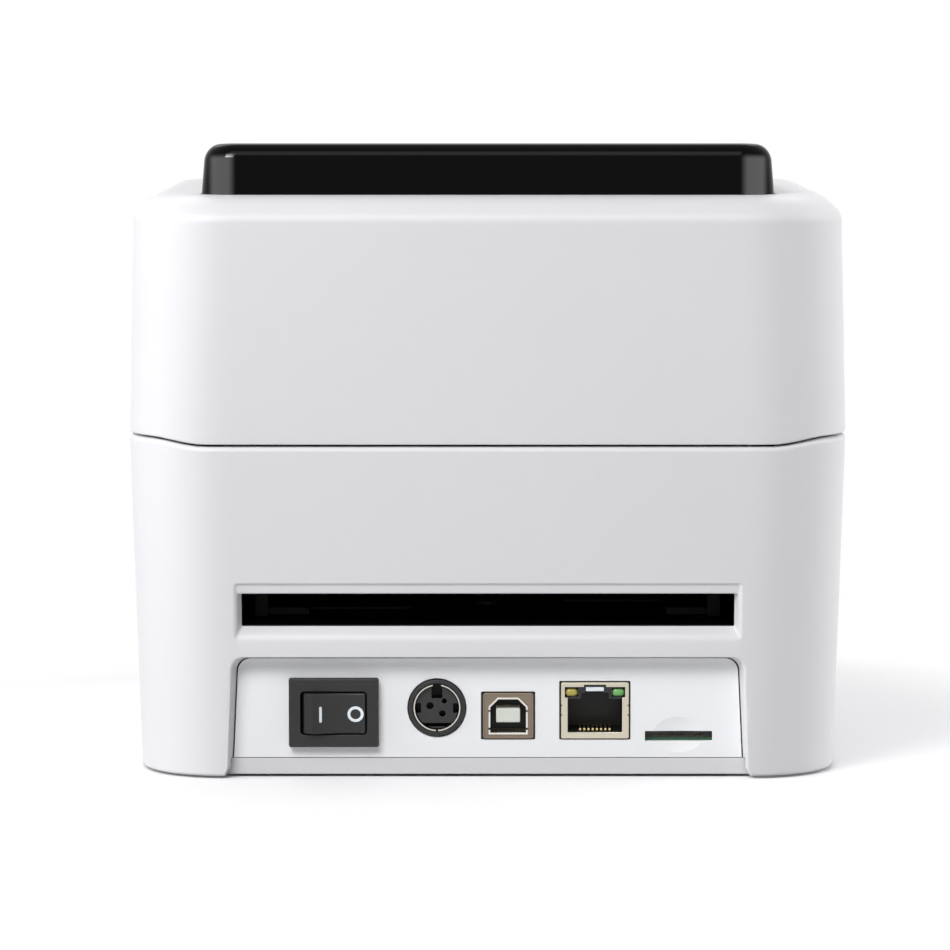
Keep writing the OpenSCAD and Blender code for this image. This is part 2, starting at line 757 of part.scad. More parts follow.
module lan_lights() {
    y1 = panel_y;
    for (s = [-1, 1]) color(s > 0 ? [0.75, 0.65, 0.2] : [0.3, 0.65, 0.3])
        block(lan_x + s * 5.75 - 1.35, lan_x + s * 5.75 + 1.35, y1 - 7.9, y1, lan_z + 3.35,
            lan_z + 5.15);
}

module card_socket() {
    w = 7.4;
    y1 = board_rear - 0.6;
    color(nickel) difference() {
        block(card_x - w, card_x + w, y1 - 14, y1, board_top, board_top + 1.5);
        block(card_x - w + 0.8, card_x + w - 0.8, y1 - 13, y1 + cut, board_top + 0.3,
            board_top + 1.2);
        block(card_x - 3, card_x + 3, y1 - 10, y1 - 6, board_top + 1, board_top + 2);
    }
}

// ---------------------------------------------------------------- media tray

shelf_z = tray_top - 5;
shelf_y = platen_y + platen_r + 4;
bay_bend = 10;
wall_lean = 4;

// Line of the tray's upper face from the rear wall down, along the floor and up to the platen
function tray_line(g) = concat(
    [[tray_rear - tray_t + g, bay_floor - g]],
    arc_points(bay_front + bay_bend, bay_floor + bay_bend, bay_bend + g, bay_bend + g,
        270, 186, 8),
    [[bay_front - wall_lean - g, shelf_z - g], [shelf_y, shelf_z + 1.6 - g]]);

sensor_y = shelf_y + 12;
sensor_half = 3.5;
sensor_travel = 40;
guide_module = 1;
guide_teeth = 12;
rack_y = guide_module * guide_teeth / 2;
rack_h = 4;
rack_depth = 7;
foot_w = 5;
rack_tail = 12;
pinion_z1 = boss_top - 0.6;

guide_x = media_w / 2;
foot_len = 9;

module tray_profile() {
    polygon(concat(tray_line(tray_t), [[shelf_y, tray_top], [tray_rear, tray_top]]));
}

module media_tray() {
    slot_x = guide_x + guide_t + move_gap;
    color(charcoal) difference() {
        union() {
            intersection() {
                pull_x(-tray_side, tray_side) tray_profile();
                block(-body_w, body_w, shelf_y, tray_rear, 0, seam_z);
            }
            both_sides() for (y = [boss_ys[1], boss_ys[2]]) translate([0, y, boss_top])
                linear_extrude(tray_t) hull() {
                    translate([boss_x, 0]) circle(r = boss_r);
                    translate([tray_side - 1, 0]) square([1, 4 * boss_r], center = true);
                }
        }
        pull_x(-bay_w / 2, bay_w / 2) polygon(concat(tray_line(0),
            [[shelf_y - cut, shelf_z + 1.6], [shelf_y - cut, seam_z + cut],
             [tray_rear - tray_t, seam_z + cut]]));
        block(-slot_w / 2, slot_w / 2, tray_rear - 2 * tray_t, tray_rear + 2 * cut,
            slot_z0, slot_z1);
        both_sides() for (y = [boss_ys[1], boss_ys[2]]) translate([boss_x, y, 0])
            cylinder(r = screw_r + 0.3, h = seam_z);
        for (s = [-1, 1]) {
            x0 = guide_x - guide_travel - foot_len / 2 - move_gap;
            y = roll_y + s * (rack_y + foot_w / 2);
            block(s > 0 ? x0 : -slot_x, s > 0 ? slot_x : -x0, y - foot_w / 2 - move_gap,
                y + foot_w / 2 + move_gap, bay_floor - 2 * tray_t, bay_floor + cut);
        }
        translate([0, roll_y, 0]) cylinder(r = 1.5 + run_fit, h = seam_z);
        block(-sensor_travel - 6 - move_gap, sensor_travel + 6 + move_gap,
            sensor_y - sensor_half - move_gap, sensor_y + sensor_half + move_gap,
            shelf_z - 2 * tray_t, seam_z);
    }
}

module tray_screws() {
    color(steel) both_sides() for (y = [boss_ys[1], boss_ys[2]])
        translate([boss_x, y, boss_top + tray_t]) mirror([0, 0, 1]) screw(screw_r - 0.02, 8);
}

hub_z = bay_floor + hub_lift;
hub_pin_r = 4;
guide_lift = 0.4;
guide_half = 30;

// Media guide whose upright stands on the +X side; its rack lies on the +Y side
module guide() {
    x = guide_x;
    w = guide_half;
    y0 = roll_y + rack_y;
    rack_z0 = pinion_z1 - rack_h;
    tooth = PI * guide_module;
    difference() {
        union() {
            pull_x(x, x + guide_t) difference() {
                hull() {
                    translate([roll_y, hub_z]) circle(r = hub_r + 6);
                    translate([roll_y - w, bay_floor + guide_lift]) square([2 * w, 6]);
                }
                hull() for (p = [[16, 6], [28, 4]])
                    translate([roll_y - 1, bay_floor + p[0]]) circle(r = p[1]);
            }
            block(x - 10, x + guide_t, roll_y + 4 - w, roll_y - 4 + w, bay_floor + guide_lift,
                bay_floor + guide_lift + 1.6);
            block(x - foot_len / 2, x + foot_len / 2 - 2, y0, y0 + foot_w, rack_z0,
                bay_floor + guide_lift + 1);
        }
        rod_x(x - cut, x + guide_t + cut, roll_y, hub_z, hub_pin_r + run_fit);
    }
    translate([0, y0, rack_z0]) linear_extrude(rack_h) union() {
        translate([-rack_tail, guide_module * 1.25])
            square([x + rack_tail, rack_depth - guide_module * 1.25]);
        for (i = [-3:ceil(guide_travel / tooth)]) translate([(i + 0.5) * tooth, 0]) polygon([
            [-0.36 * tooth, 1.3 * guide_module], [-0.1 * tooth, -0.8 * guide_module],
            [0.1 * tooth, -0.8 * guide_module], [0.36 * tooth, 1.3 * guide_module]]);
    }
}

module guide_left() {
    color(charcoal) guide();
}

module guide_right() {
    color(charcoal) translate([0, 2 * roll_y, 0]) rotate([0, 0, 180]) guide();
}

// Angle between an involute's start and its point at radius r, base radius rb
function roll_out(r, rb) = let(t = sqrt(max(0, pow(r / rb, 2) - 1))) t * 180 / PI - atan(t);

// Spur gear outline with involute flanks; phase turns the first tooth's centre
function gear_points(teeth, m, phase) = let(
        rp = teeth * m / 2, rb = rp * cos(20), ro = rp + m * 0.85, rr = rp - m * 1.2,
        half = 90 / teeth - 0.07 * 180 / PI / rp,
        rs = [max(rr, rb + 0.001), (max(rr, rb) + rp) / 2, rp, (rp + ro) / 2, ro])
    [for (i = [0:teeth - 1]) let(a = phase + i * 360 / teeth)
        each concat(
            [rr * [cos(a - half - roll_out(rp, rb)), sin(a - half - roll_out(rp, rb))]],
            [for (r = rs) let(b = a - half - roll_out(rp, rb) + roll_out(r, rb))
                r * [cos(b), sin(b)]],
            [for (k = [len(rs) - 1:-1:0]) let(r = rs[k],
                b = a + half + roll_out(rp, rb) - roll_out(r, rb)) r * [cos(b), sin(b)]],
            [rr * [cos(a + half + roll_out(rp, rb)), sin(a + half + roll_out(rp, rb))]])];

module guide_pinion() {
    color([0.85, 0.85, 0.82]) translate([0, roll_y, 0]) {
        difference() {
            translate([0, 0, pinion_z1 - rack_h + 0.3]) linear_extrude(rack_h - 0.6)
                polygon(gear_points(guide_teeth, guide_module, 90));
            translate([0, 0, pinion_z1 - rack_h]) cylinder(r = 1.2, h = 2);
        }
        translate([0, 0, pinion_z1 - 0.4]) cylinder(r = 1.5, h = bay_floor - pinion_z1 + 0.8);
        translate([0, 0, bay_floor + 0.15]) cylinder(r = 2.8, h = 0.8);
    }
}

module hub() {
    x = guide_x;
    difference() {
        union() {
            rod_x(x - 8, x - move_gap, roll_y, hub_z, hub_r);
            rod_x(x - 2, x - move_gap, roll_y, hub_z, hub_r + 6);
            rod_x(x - move_gap - eps, x + guide_t + move_gap, roll_y, hub_z, hub_pin_r);
            rod_x(x + guide_t + 0.3, x + guide_t + 1.3, roll_y, hub_z, hub_pin_r + 1);
        }
        rod_x(x - 9, x - 3, roll_y, hub_z, hub_r - 2);
        for (a = [0:60:300]) translate([0, roll_y, hub_z]) rotate([a, 0, 0])
            block(x - 9, x - 4, hub_r - 3, hub_r + 1, -0.6, 0.6);
    }
}

module hub_left() {
    color(key_grey) hub();
}

module hub_right() {
    color(key_grey) mirror([1, 0, 0]) hub();
}

module gap_sensor() {
    z0 = shelf_z - tray_t;
    color(black) {
        block(-6, 6, sensor_y - sensor_half, sensor_y + sensor_half, z0 - 1.5, shelf_z + 2.2);
        block(-6, 6, sensor_y - sensor_half - 1.5, sensor_y + sensor_half + 1.5, z0 - 3.2,
            z0 - 1.2);
        block(-1.2, 1.2, sensor_y - 1, sensor_y + 1, shelf_z + 2, shelf_z + 3);
    }
}

// ---------------------------------------------------------------- platen and drive

idler_aim = 50;
idler_small_r = idler_small_teeth * gear_module / 2;
idler_r = idler_teeth * gear_module / 2;
pinion_r = pinion_teeth * gear_module / 2;
platen_gear_r = platen_teeth * gear_module / 2;
idler_dist = platen_gear_r + idler_small_r;
idler_y = platen_y + idler_dist * cos(idler_aim);
idler_z = platen_z - idler_dist * sin(idler_aim);
motor_aim = 30;
motor_dist = idler_r + pinion_r;
motor_boss_r = 8.8;
motor_screw = 0.53 * motor_size;
motor_cap = 7;
motor_end = 2;
motor_shaft_r = 2.5;
motor_y = idler_y + motor_dist * cos(motor_aim);
motor_z = idler_z - motor_dist * sin(motor_aim);
gear2_x = gear_x + gear_face + gear_gap;
bearing_r = 5;

module tear_bar() {
    teeth = 28;
    pitch = (mouth_w - 2) / teeth;
    y1 = front_y + 8;
    z = lip_z + 0.1;
    color(steel) {
        translate([0, 0, z]) linear_extrude(1) polygon(concat(
            [[mouth_w / 2 - 1, y1], [1 - mouth_w / 2, y1]],
            [for (i = [0:teeth - 1]) each [[1 - mouth_w / 2 + i * pitch, front_y + 1.6],
                [1 - mouth_w / 2 + (i + 0.5) * pitch, front_y + 0.4]]],
            [[mouth_w / 2 - 1, front_y + 1.6]]));
        block(1 - mouth_w / 2, mouth_w / 2 - 1, y1 - 1, y1, z - 6, z + eps);
    }
}

// Steel side plate with the platen bearing hole; drive side carries motor and idler
module side_plate(driven) {
    x0 = side_plate_x;
    y1 = driven ? motor_y + motor_size / 2 + 1 : platen_y + 22;
    difference() {
        union() {
            pull_x(x0, x0 + plate_steel) polygon([[platen_y - 8, plate_top],
                [y1, plate_top], [y1, driven ? motor_z + motor_size / 2 - 2 : platen_z - 26],
                [platen_y + 13, tray_top - 7], [platen_y + 8, platen_z + 6.5],
                [platen_y - 8, platen_z + 6.5]]);
            block(x0 - 8, x0 + plate_steel, platen_y - 8, y1, plate_top,
                plate_top + plate_steel);
        }
        rod_x(x0 - cut, x0 + 2 * cut + plate_steel, platen_y, platen_z, bearing_r + run_fit);
        if (driven) {
            rod_x(x0 - cut, x0 + 2 * cut + plate_steel, motor_y, motor_z,
                motor_boss_r + drop_gap);
            rod_x(x0 - cut, x0 + 2 * cut + plate_steel, idler_y, idler_z, 2);
            for (a = [45:90:315]) rod_x(x0 - cut, x0 + 2 * cut + plate_steel,
                motor_y + motor_screw * cos(a), motor_z + motor_screw * sin(a), screw_r + 0.35);
        }
    }
}

module drive_plate() {
    color(steel) mirror([1, 0, 0]) side_plate(true);
}

module platen_plate() {
    color(steel) side_plate(false);
}

module platen_bearings() {
    x0 = side_plate_x;
    color([0.9, 0.9, 0.86]) both_sides() difference() {
        union() {
            rod_x(x0 - 1.4, x0 + plate_steel + 0.3, platen_y, platen_z, bearing_r);
            rod_x(x0 - 1.4, x0, platen_y, platen_z, bearing_r + 1.4);
        }
        rod_x(x0 - 2, x0 + plate_steel + cut, platen_y, platen_z, shaft_r + run_fit);
    }
}

module platen_shaft() {
    x1 = gear_x + gear_face + 0.2;
    color(steel) rod_x(-x1, side_plate_x + plate_steel + 2, platen_y, platen_z, shaft_r);
}

module platen_roller() {
    color(charcoal) difference() {
        rod_x(-platen_len / 2, platen_len / 2, platen_y, platen_z, platen_r);
        rod_x(-platen_len, platen_len, platen_y, platen_z, shaft_r);
    }
}

mesh_phase = 180 - idler_aim;
module platen_gear() {
    color([0.85, 0.85, 0.82]) pull_x(-gear_x - gear_face, -gear_x)
        translate([platen_y, platen_z]) difference() {
            polygon(gear_points(platen_teeth, gear_module, -idler_aim));
            circle(r = shaft_r);
            for (a = [0:60:300]) rotate(a) translate([platen_gear_r * 0.62, 0])
                circle(r = platen_gear_r * 0.15);
        }
}

module idler_stud() {
    color(steel) {
        rod_x(-gear2_x - gear_face - 1.4, -side_plate_x, idler_y, idler_z, 2);
        rod_x(-gear2_x - gear_face - 1.4, -gear2_x - gear_face - 0.4, idler_y, idler_z, 3.2);
    }
}

module idler_gear() {
    small_phase = mesh_phase + 180 / idler_small_teeth;
    color([0.85, 0.85, 0.82]) difference() {
        union() {
            pull_x(-gear2_x - gear_face, -gear2_x) translate([idler_y, idler_z])
                polygon(gear_points(idler_teeth, gear_module, -motor_aim));
            pull_x(-gear2_x - eps, -gear_x) translate([idler_y, idler_z])
                polygon(gear_points(idler_small_teeth, gear_module, small_phase));
        }
        rod_x(-gear2_x - gear_face - cut, -gear_x + cut, idler_y, idler_z, 2 + run_fit);
    }
}

module stepper_motor() {
    x1 = -side_plate_x;
    c = 4;
    h = motor_size / 2;
    outline = [[-h + c, -h], [h - c, -h], [h, -h + c], [h, h - c], [h - c, h], [-h + c, h],
        [-h, h - c], [-h, -h + c]];
    color(steel) difference() {
        union() {
            for (s = [[0, motor_cap, 0], [motor_cap, motor_len - motor_cap, 0.6],
                [motor_len - motor_cap, motor_len, 0]])
                pull_x(x1 + s[0], x1 + s[1]) translate([motor_y, motor_z])
                    offset(delta = -s[2]) polygon(outline);
            rod_x(x1 - plate_steel, x1 + eps, motor_y, motor_z, motor_boss_r);
        }
        rod_x(x1 - 3, x1 + motor_len - motor_end, motor_y, motor_z, motor_shaft_r + run_fit);
    }
}

module motor_shaft() {
    color(steel) rod_x(-gear2_x - gear_face - 0.4, motor_len - side_plate_x - motor_end - 1,
        motor_y, motor_z, motor_shaft_r);
}

module motor_pinion() {
    color(gold) difference() {
        union() {
            pull_x(-gear2_x - gear_face, -gear2_x) translate([motor_y, motor_z])
                polygon(gear_points(pinion_teeth, gear_module,
                    180 - motor_aim + 180 / pinion_teeth));
            rod_x(-gear2_x - eps, -gear2_x + 2, motor_y, motor_z, motor_shaft_r + 1.1);
        }
        rod_x(-gear2_x - gear_face - cut, -gear2_x + 2 + cut, motor_y, motor_z,
            motor_shaft_r);
    }
}

// ---------------------------------------------------------------- hinge and latches

arm_x = tray_side + 2;
module hinge_arm() {
    knee_y = hinge_y - relief_r - 4;
    knee_z = hinge_z + 3;
    leg_z = bay_floor + 12;
    w = knuckle_r;
    difference() {
        union() {
            pull_x(arm_x, arm_x + arm_t) polygon([[hinge_y, hinge_z + w], [hinge_y, hinge_z - w],
                [knee_y + 2, hinge_z - w + 0.6], [knee_y, hinge_z - w - 2], [knee_y, leg_z],
                [knee_y - 9, leg_z], [knee_y - 9, knee_z - 5], [knee_y - 5, knee_z + w]]);
            rod_x(arm_x, arm_x + arm_t, hinge_y, hinge_z, w);
            for (z = [leg_z + 5, leg_z + 22]) rod_x(tray_side, arm_x + eps, knee_y - 4.5, z, 3);
        }
        rod_x(arm_x - cut, arm_x + arm_t + cut, hinge_y, hinge_z, hinge_pin_r + run_fit);
    }
}

module hinge_arm_left() {
    color(charcoal) hinge_arm();
}

module hinge_arm_right() {
    color(charcoal) mirror([1, 0, 0]) hinge_arm();
}

lug_x = arm_x + arm_t + move_gap;
lug_t = 4.5;
module hinge_pins() {
    color(steel) both_sides() {
        rod_x(arm_x - 0.4, lug_x + lug_t, hinge_y, hinge_z, hinge_pin_r);
        rod_x(arm_x - 1.4, arm_x - 0.4, hinge_y, hinge_z, hinge_pin_r + 0.9);
    }
}

catch_y = latch_y - 4;
catch_z = seam_z + 7;
module latch() {
    difference() {
        union() {
            pull_x(lever_x, lever_x + lever_t) polygon([[latch_y - 4, latch_z - 4],
                [latch_y + 4, latch_z - 4], [latch_y + 6, latch_z + 18],
                [latch_y + 5, catch_z + 3], [latch_y + 1.5, catch_z + 4],
                [catch_y + 2 + move_gap, catch_z + 1], [latch_y - 0.4, catch_z - 3],
                [latch_y - 2, latch_z + 16]]);
            block(lever_x + lever_t - eps, body_w / 2 - 1.2, pad_y0 + 5, pad_y1 - 4.5,
                pad_z0 + 2, pad_z1 - 2);
            for (i = [0:2]) block(body_w / 2 - 1.2 - eps, body_w / 2 - 0.7,
                pad_y0 + 6 + i * 2.4, pad_y0 + 7 + i * 2.4, pad_z0 + 2.6, pad_z1 - 2.6);
        }
        rod_x(lever_x - cut, body_w / 2, latch_y, latch_z, 2 + run_fit);
    }
}

module latch_left() {
    color(key_grey) latch();
}

module latch_right() {
    color(key_grey) mirror([1, 0, 0]) latch();
}

// ---------------------------------------------------------------- lid

window_w = body_w - 2 * window_side_gap;
window_y1 = rear_y - window_rear_gap;
window_y0 = front_y + window_front_gap;
window_len = window_y1 - window_y0;
window_fall = (window_rise - window_front_rise) / window_len;
window_foot = ceiling_z - 2.1;
function window_top(y) = lid_top + window_rise - (window_y1 - y) * window_fall;
function window_plan(inset) = plan(window_w / 2 - inset, window_y0 + inset, window_y1 - inset,
    window_corner - inset, window_corner - inset, window_corner - inset, window_corner - inset);
function window_ring(inset, drop) =
    [for (p = window_plan(inset)) [p[0], p[1], window_top(p[1]) - drop]];

module window_solid(g, z0) {
    steps = 4;
    loft(concat([at_height(window_plan(g), z0)],
        [for (i = [0:steps]) let(a = 90 * i / steps, r = window_round)
            window_ring(g + r * (1 - cos(a)) * 0.9, g + r * (1 - sin(a)))]));
}

module window() {
    flange = 3;
    color(black) difference() {
        union() {
            window_solid(0, window_foot);
            translate([0, 0, window_foot]) linear_extrude(2)
                round_rect(-window_w / 2 - flange, window_w / 2 + flange,
                    window_y0 - flange, window_y1 - 2, window_corner);
        }
        window_solid(window_t, window_foot - cut);
    }
}

key_x = body_w / 2 - key_inset;
key_run = 16;
key_runs = [key_run, key_run + key_pitch];
light_x = [for (i = [2:-1:0]) key_x - light_gap - i * light_pitch];
surface_y = lid_front(break_z + break_blend);
surface_z = break_z + break_blend;

// Moves children onto the sloped front, run mm up the slope from its lower bend
module on_slope(x, run) {
    translate([x, surface_y + run * cos(slope_deg), surface_z + run * sin(slope_deg)])
        rotate([slope_deg, 0, 0]) children();
}

module lug() {
    wall_y = rear_y - wall / 2;
    pull_x(lug_x, lug_x + lug_t) polygon(concat(
        arc_points(hinge_y, hinge_z, knuckle_r, knuckle_r, 90, 270, 10),
        [[wall_y, hinge_z - knuckle_r], [wall_y, hinge_z + knuckle_r + 3]]));
}

liner_z1 = window_foot - 0.1;
liner_t = 2;
lid_boss_x = body_w / 2 - 10.5;
lid_boss_ys = [window_y0 + 25.5, window_y1 - 36.5];
key_posts = [[light_x[0] - 2, key_run + 20], [light_x[2] - 2, key_run + 22],
    [light_x[2] - 2, key_run - 4]];

module top_cover() {
    g = drop_gap;
    color(white) difference() {
        union() {
            difference() {
                lid_outer();
                lid_inner();
            }
            intersection() {
                both_sides() {
                    lug();
                    block(lever_x, body_w / 2, catch_y - 2, catch_y + 2, catch_z - 3,
                        catch_z + 8);
                    for (y = lid_boss_ys) translate([lid_boss_x, y, liner_z1])
                        cylinder(r = boss_r, h = lid_top - liner_z1);
                }
                for (p = key_posts) on_slope(p[0], p[1]) translate([0, 0, -8])
                    cylinder(r = 2, h = 7);
                lid_outer();
            }
        }
        translate([0, 0, ceiling_z - 8]) linear_extrude(lid_h)
            round_rect(-window_w / 2 - g, window_w / 2 + g, window_y0 - g, window_y1 + g,
                window_corner);
        block(-mouth_w / 2, mouth_w / 2, front_y - cut, front_y + 3 * wall, seam_z - cut,
            seam_z + mouth_h);
        both_sides() {
            rod_x(lug_x - cut, lug_x + lug_t + cut, hinge_y, hinge_z, hinge_pin_r + 0.01);
            for (y = lid_boss_ys) translate([lid_boss_x, y, liner_z1 - cut])
                cylinder(r = screw_r, h = lid_top - liner_z1 - 1.5 + cut);
        }
        for (run = key_runs) on_slope(key_x, run) translate([0, 0, -12])
            cylinder(r = key_r + move_gap, h = 20);
        for (x = light_x) on_slope(x, key_run) translate([0, 0, -12])
            cylinder(r = light_r + 0.1, h = 20);
    }
}

pivot_gap = 5;
pivot_rise = 12;
pivot_r = 1.5;
bracket_rise = 9;
carrier_rise = 13;
spring_h = 10;
spring_r = 4;
cup_r = 6.4;
cup_bore = 5;
cup_depth = 6.5;
cup_roof = 0.5;
cheek_gap = 1.5;
cheek_t = 2;
liner_x = tray_side - 1;
liner_y0 = platen_y + liner_gap;
liner_y1 = hinge_y - relief_r - 1.5;
module lid_liner() {
    zt = liner_z1;
    zl = seam_z + 6;
    color(charcoal) difference() {
        union() {
            translate([0, 0, zt - liner_t]) linear_extrude(liner_t) difference() {
                round_rect(-lid_boss_x - 3, lid_boss_x + 3, window_y0 - 4,
                    window_y0 + window_len - 5, 5);
                translate([-liner_x, window_y0 + 3])
                    square([2 * liner_x, window_len - 14]);
            }
            both_sides() pull_x(liner_x, liner_x + liner_t) polygon([[liner_y0, zl],
                [liner_y1, zl + 20], [liner_y1 + 6, zt], [window_y0 + 6, zt],
                [liner_y0, zt - 22]]);
            block(-liner_x, liner_x, liner_y0, liner_y0 + liner_t, zl + 14, zt - 14);
            block(-liner_x, liner_x, head_y0, liner_y0 + liner_t, carrier_z,
                carrier_z + liner_t);
            both_sides() {
                pull_x(head_w / 2 + cheek_gap, head_w / 2 + cheek_gap + cheek_t) polygon([
                    [pivot_y - 2 - pivot_r, pivot_z - 2 - pivot_r],
                    [pivot_y + 2 + pivot_r, pivot_z - 2 - pivot_r],
                    [liner_y0 + liner_t, carrier_z + eps], [pivot_y - 8, carrier_z + eps]]);
                translate([spring_x, spring_y, carrier_z - cup_depth - cup_roof])
                    cylinder(r = cup_r, h = cup_depth + 2 * cup_roof);
            }
        }
        both_sides() {
            rod_x(head_w / 2, head_w / 2 + 2 * cheek_t, pivot_y, pivot_z, pivot_r + 0.01);
            translate([spring_x, spring_y, carrier_z - cup_depth - cup_roof - cut])
                cylinder(r = cup_bore, h = cup_depth + cut);
            for (y = lid_boss_ys) translate([lid_boss_x, y, zt - 2 * liner_t])
                cylinder(r = screw_r + 0.3, h = 3 * liner_t);
        }
    }
}

module liner_screws() {
    color(steel) both_sides() for (y = lid_boss_ys)
        translate([lid_boss_x, y, liner_z1 - liner_t]) screw(screw_r - 0.02, liner_t + 2.6);
}

head_y0 = platen_y - platen_r;
head_y1 = head_y0 + head_d;
pivot_y = liner_y0 - pivot_gap;
pivot_z = paper_z + pivot_rise;
spring_y = platen_y + 1;
bracket_z = paper_z + bracket_rise;
carrier_z = bracket_z + carrier_rise;

module print_head() {
    color([0.45, 0.4, 0.36]) pull_x(-head_w / 2, head_w / 2) polygon(concat(
        [[head_y0, paper_z + 1.6], [head_y0, paper_z + 0.6]],
        arc_points(platen_y, paper_z + 0.6, 1.4, 0.3, 180, 360, 6),
        [[head_y1, paper_z + 0.6], [head_y1, paper_z + 1.6]]));
}

module heat_sink() {
    fins = 6;
    w = head_w / 2;
    pitch = head_d / fins;
    color(steel) pull_x(-w, w) polygon(concat(
        [[head_y0, paper_z + 1.6], [head_y1, paper_z + 1.6]],
        [for (i = [fins - 1:-1:0]) each [[head_y0 + (i + 1) * pitch, bracket_z],
            [head_y0 + (i + 0.4) * pitch, bracket_z], [head_y0 + (i + 0.4) * pitch, paper_z + 5],
            [head_y0 + i * pitch, paper_z + 5]]]));
}

module head_bracket() {
    w = head_w / 2;
    color(steel) difference() {
        union() {
            block(-w, w, head_y0, pivot_y, bracket_z, bracket_z + plate_steel);
            both_sides() pull_x(w - plate_steel, w) polygon(concat(
                arc_points(pivot_y, pivot_z, 3.2, 3.2, -60, 90, 8),
                [[pivot_y - 8, bracket_z + plate_steel], [pivot_y - 8, bracket_z]]));
        }
        rod_x(-w - cut, w + cut, pivot_y, pivot_z, pivot_r + run_fit);
    }
}

module head_pin() {
    x = head_w / 2 + cheek_gap + cheek_t;
    color(steel) rod_x(-x, x, pivot_y, pivot_z, pivot_r);
}

// Coil of round wire standing on the bracket
module coil(r, wire, height, turns) {
    sides = 6;
    steps = 10;
    n = turns * steps;
    loft_points = [for (k = [0:n]) let(a = 360 * k / steps, z = wire + (height - 2 * wire) * k / n)
        [for (s = [0:sides - 1]) let(b = 360 * s / sides)
            [(r + wire * cos(b)) * cos(a), (r + wire * cos(b)) * sin(a), z + wire * sin(b)]]];
    mirror([0, 1, 0]) loft([for (p = loft_points) [for (q = p) [q[0], -q[1], q[2]]]]);
}

module head_springs() {
    color(steel) both_sides() translate([spring_x, spring_y, bracket_z + plate_steel])
        coil(spring_r, 0.45, spring_h, 5);
}

module key_cap(run) {
    on_slope(key_x, run) {
        translate([0, 0, -4.5]) cylinder(r = key_r, h = 5.3);
        translate([0, 0, 0.8 - eps]) cylinder(r1 = key_r, r2 = key_r - 0.5, h = 0.5);
        translate([0, 0, -5.5]) cylinder(r = key_r + 1.5, h = 1.2);
    }
}

module feed_key() {
    color(key_grey) key_cap(key_runs[0]);
}

module pause_key() {
    color(key_grey) key_cap(key_runs[1]);
}

key_board_edge = 9;
module key_board() {
    color(board_green) on_slope(0, 0) {
        block(light_x[0] - 6, key_x + key_board_edge, key_runs[0] - 8,
            key_runs[1] + key_board_edge, -8 - board_t, -8);
        for (run = key_runs) translate([key_x, run, -8 - eps])
            cylinder(r = 3, h = 2.45 - key_travel);
    }
}

module status_lights() {
    for (i = [0:2]) color([[0.3, 0.8, 0.4], [0.9, 0.7, 0.2], [0.85, 0.3, 0.25]][i])
        on_slope(light_x[i], key_run) translate([0, 0, -8]) cylinder(r = light_r, h = 8.2);
}

lower_housing();
base_plate();
rubber_feet();
base_screws();
rear_panel();
main_board();
board_parts();
board_screws();
switch_body();
switch_rocker();
switch_terminals();
dc_socket();
dc_shield();
usb_shell();
usb_insert();
lan_shell();
lan_insert();
lan_contacts();
lan_lights();
card_socket();
media_tray();
tray_screws();
guide_left();
guide_right();
guide_pinion();
hub_left();
hub_right();
gap_sensor();
tear_bar();
drive_plate();
platen_plate();
platen_bearings();
platen_shaft();
platen_roller();
platen_gear();
idler_stud();
idler_gear();
stepper_motor();
motor_shaft();
motor_pinion();
hinge_arm_left();
hinge_arm_right();
hinge_pins();
latch_left();
latch_right();
top_cover();
window();
lid_liner();
liner_screws();
head_bracket();
head_pin();
heat_sink();
print_head();
head_springs();
feed_key();
pause_key();
key_board();
status_lights();
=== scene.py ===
import math

import bpy
import numpy as np
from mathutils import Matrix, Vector


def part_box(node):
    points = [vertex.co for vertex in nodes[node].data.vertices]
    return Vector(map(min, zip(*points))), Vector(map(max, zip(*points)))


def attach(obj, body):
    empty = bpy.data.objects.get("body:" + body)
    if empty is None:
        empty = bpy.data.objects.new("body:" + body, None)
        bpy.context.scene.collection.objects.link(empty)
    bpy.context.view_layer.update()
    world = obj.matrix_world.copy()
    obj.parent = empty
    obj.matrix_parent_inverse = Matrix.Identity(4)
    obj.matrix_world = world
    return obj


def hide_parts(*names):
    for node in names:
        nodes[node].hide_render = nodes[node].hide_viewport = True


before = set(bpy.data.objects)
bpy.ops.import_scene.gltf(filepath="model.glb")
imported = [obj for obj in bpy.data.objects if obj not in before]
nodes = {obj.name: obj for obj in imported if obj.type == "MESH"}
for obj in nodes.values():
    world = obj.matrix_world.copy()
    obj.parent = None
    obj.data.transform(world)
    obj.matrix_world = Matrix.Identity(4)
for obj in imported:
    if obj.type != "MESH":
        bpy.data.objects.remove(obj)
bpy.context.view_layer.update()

# ------------------------------------------------------------- lower housing
# The tub that everything stands in: one ABS moulding with drafted walls, a
# rounded lip at the parting line, a bevelled paper slot and a panel recess.

MM = 0.001
BODY_HALF = 86.0
FRONT_Y, REAR_Y = -107.5, 107.5
SEAM_Z = 79.8
WALL = 2.5
BASE_DRAFT, LID_DRAFT, END_DRAFT = 0.033, 0.0215, 0.01
REAR_CORNER, REAR_POWER = (24.0, 29.0), 2.4
FRONT_CORNER = (20.0, 24.0)
CORNER_STEPS, SIDE_STEPS, END_STEPS = 22, 36, 58

SKIRT_Z = 0.6
SKIRT_ROUND = 0.7
LIP_ROUND = 1.3
INNER_ROUND = 0.3
SEAM_DIP_Z = 79.2
SEAM_OPEN = 0.5
SEAM_RISE = 1.6
RISE_FROM, RISE_TO = 67.0, 80.5
RISE_BLEND = 9.0


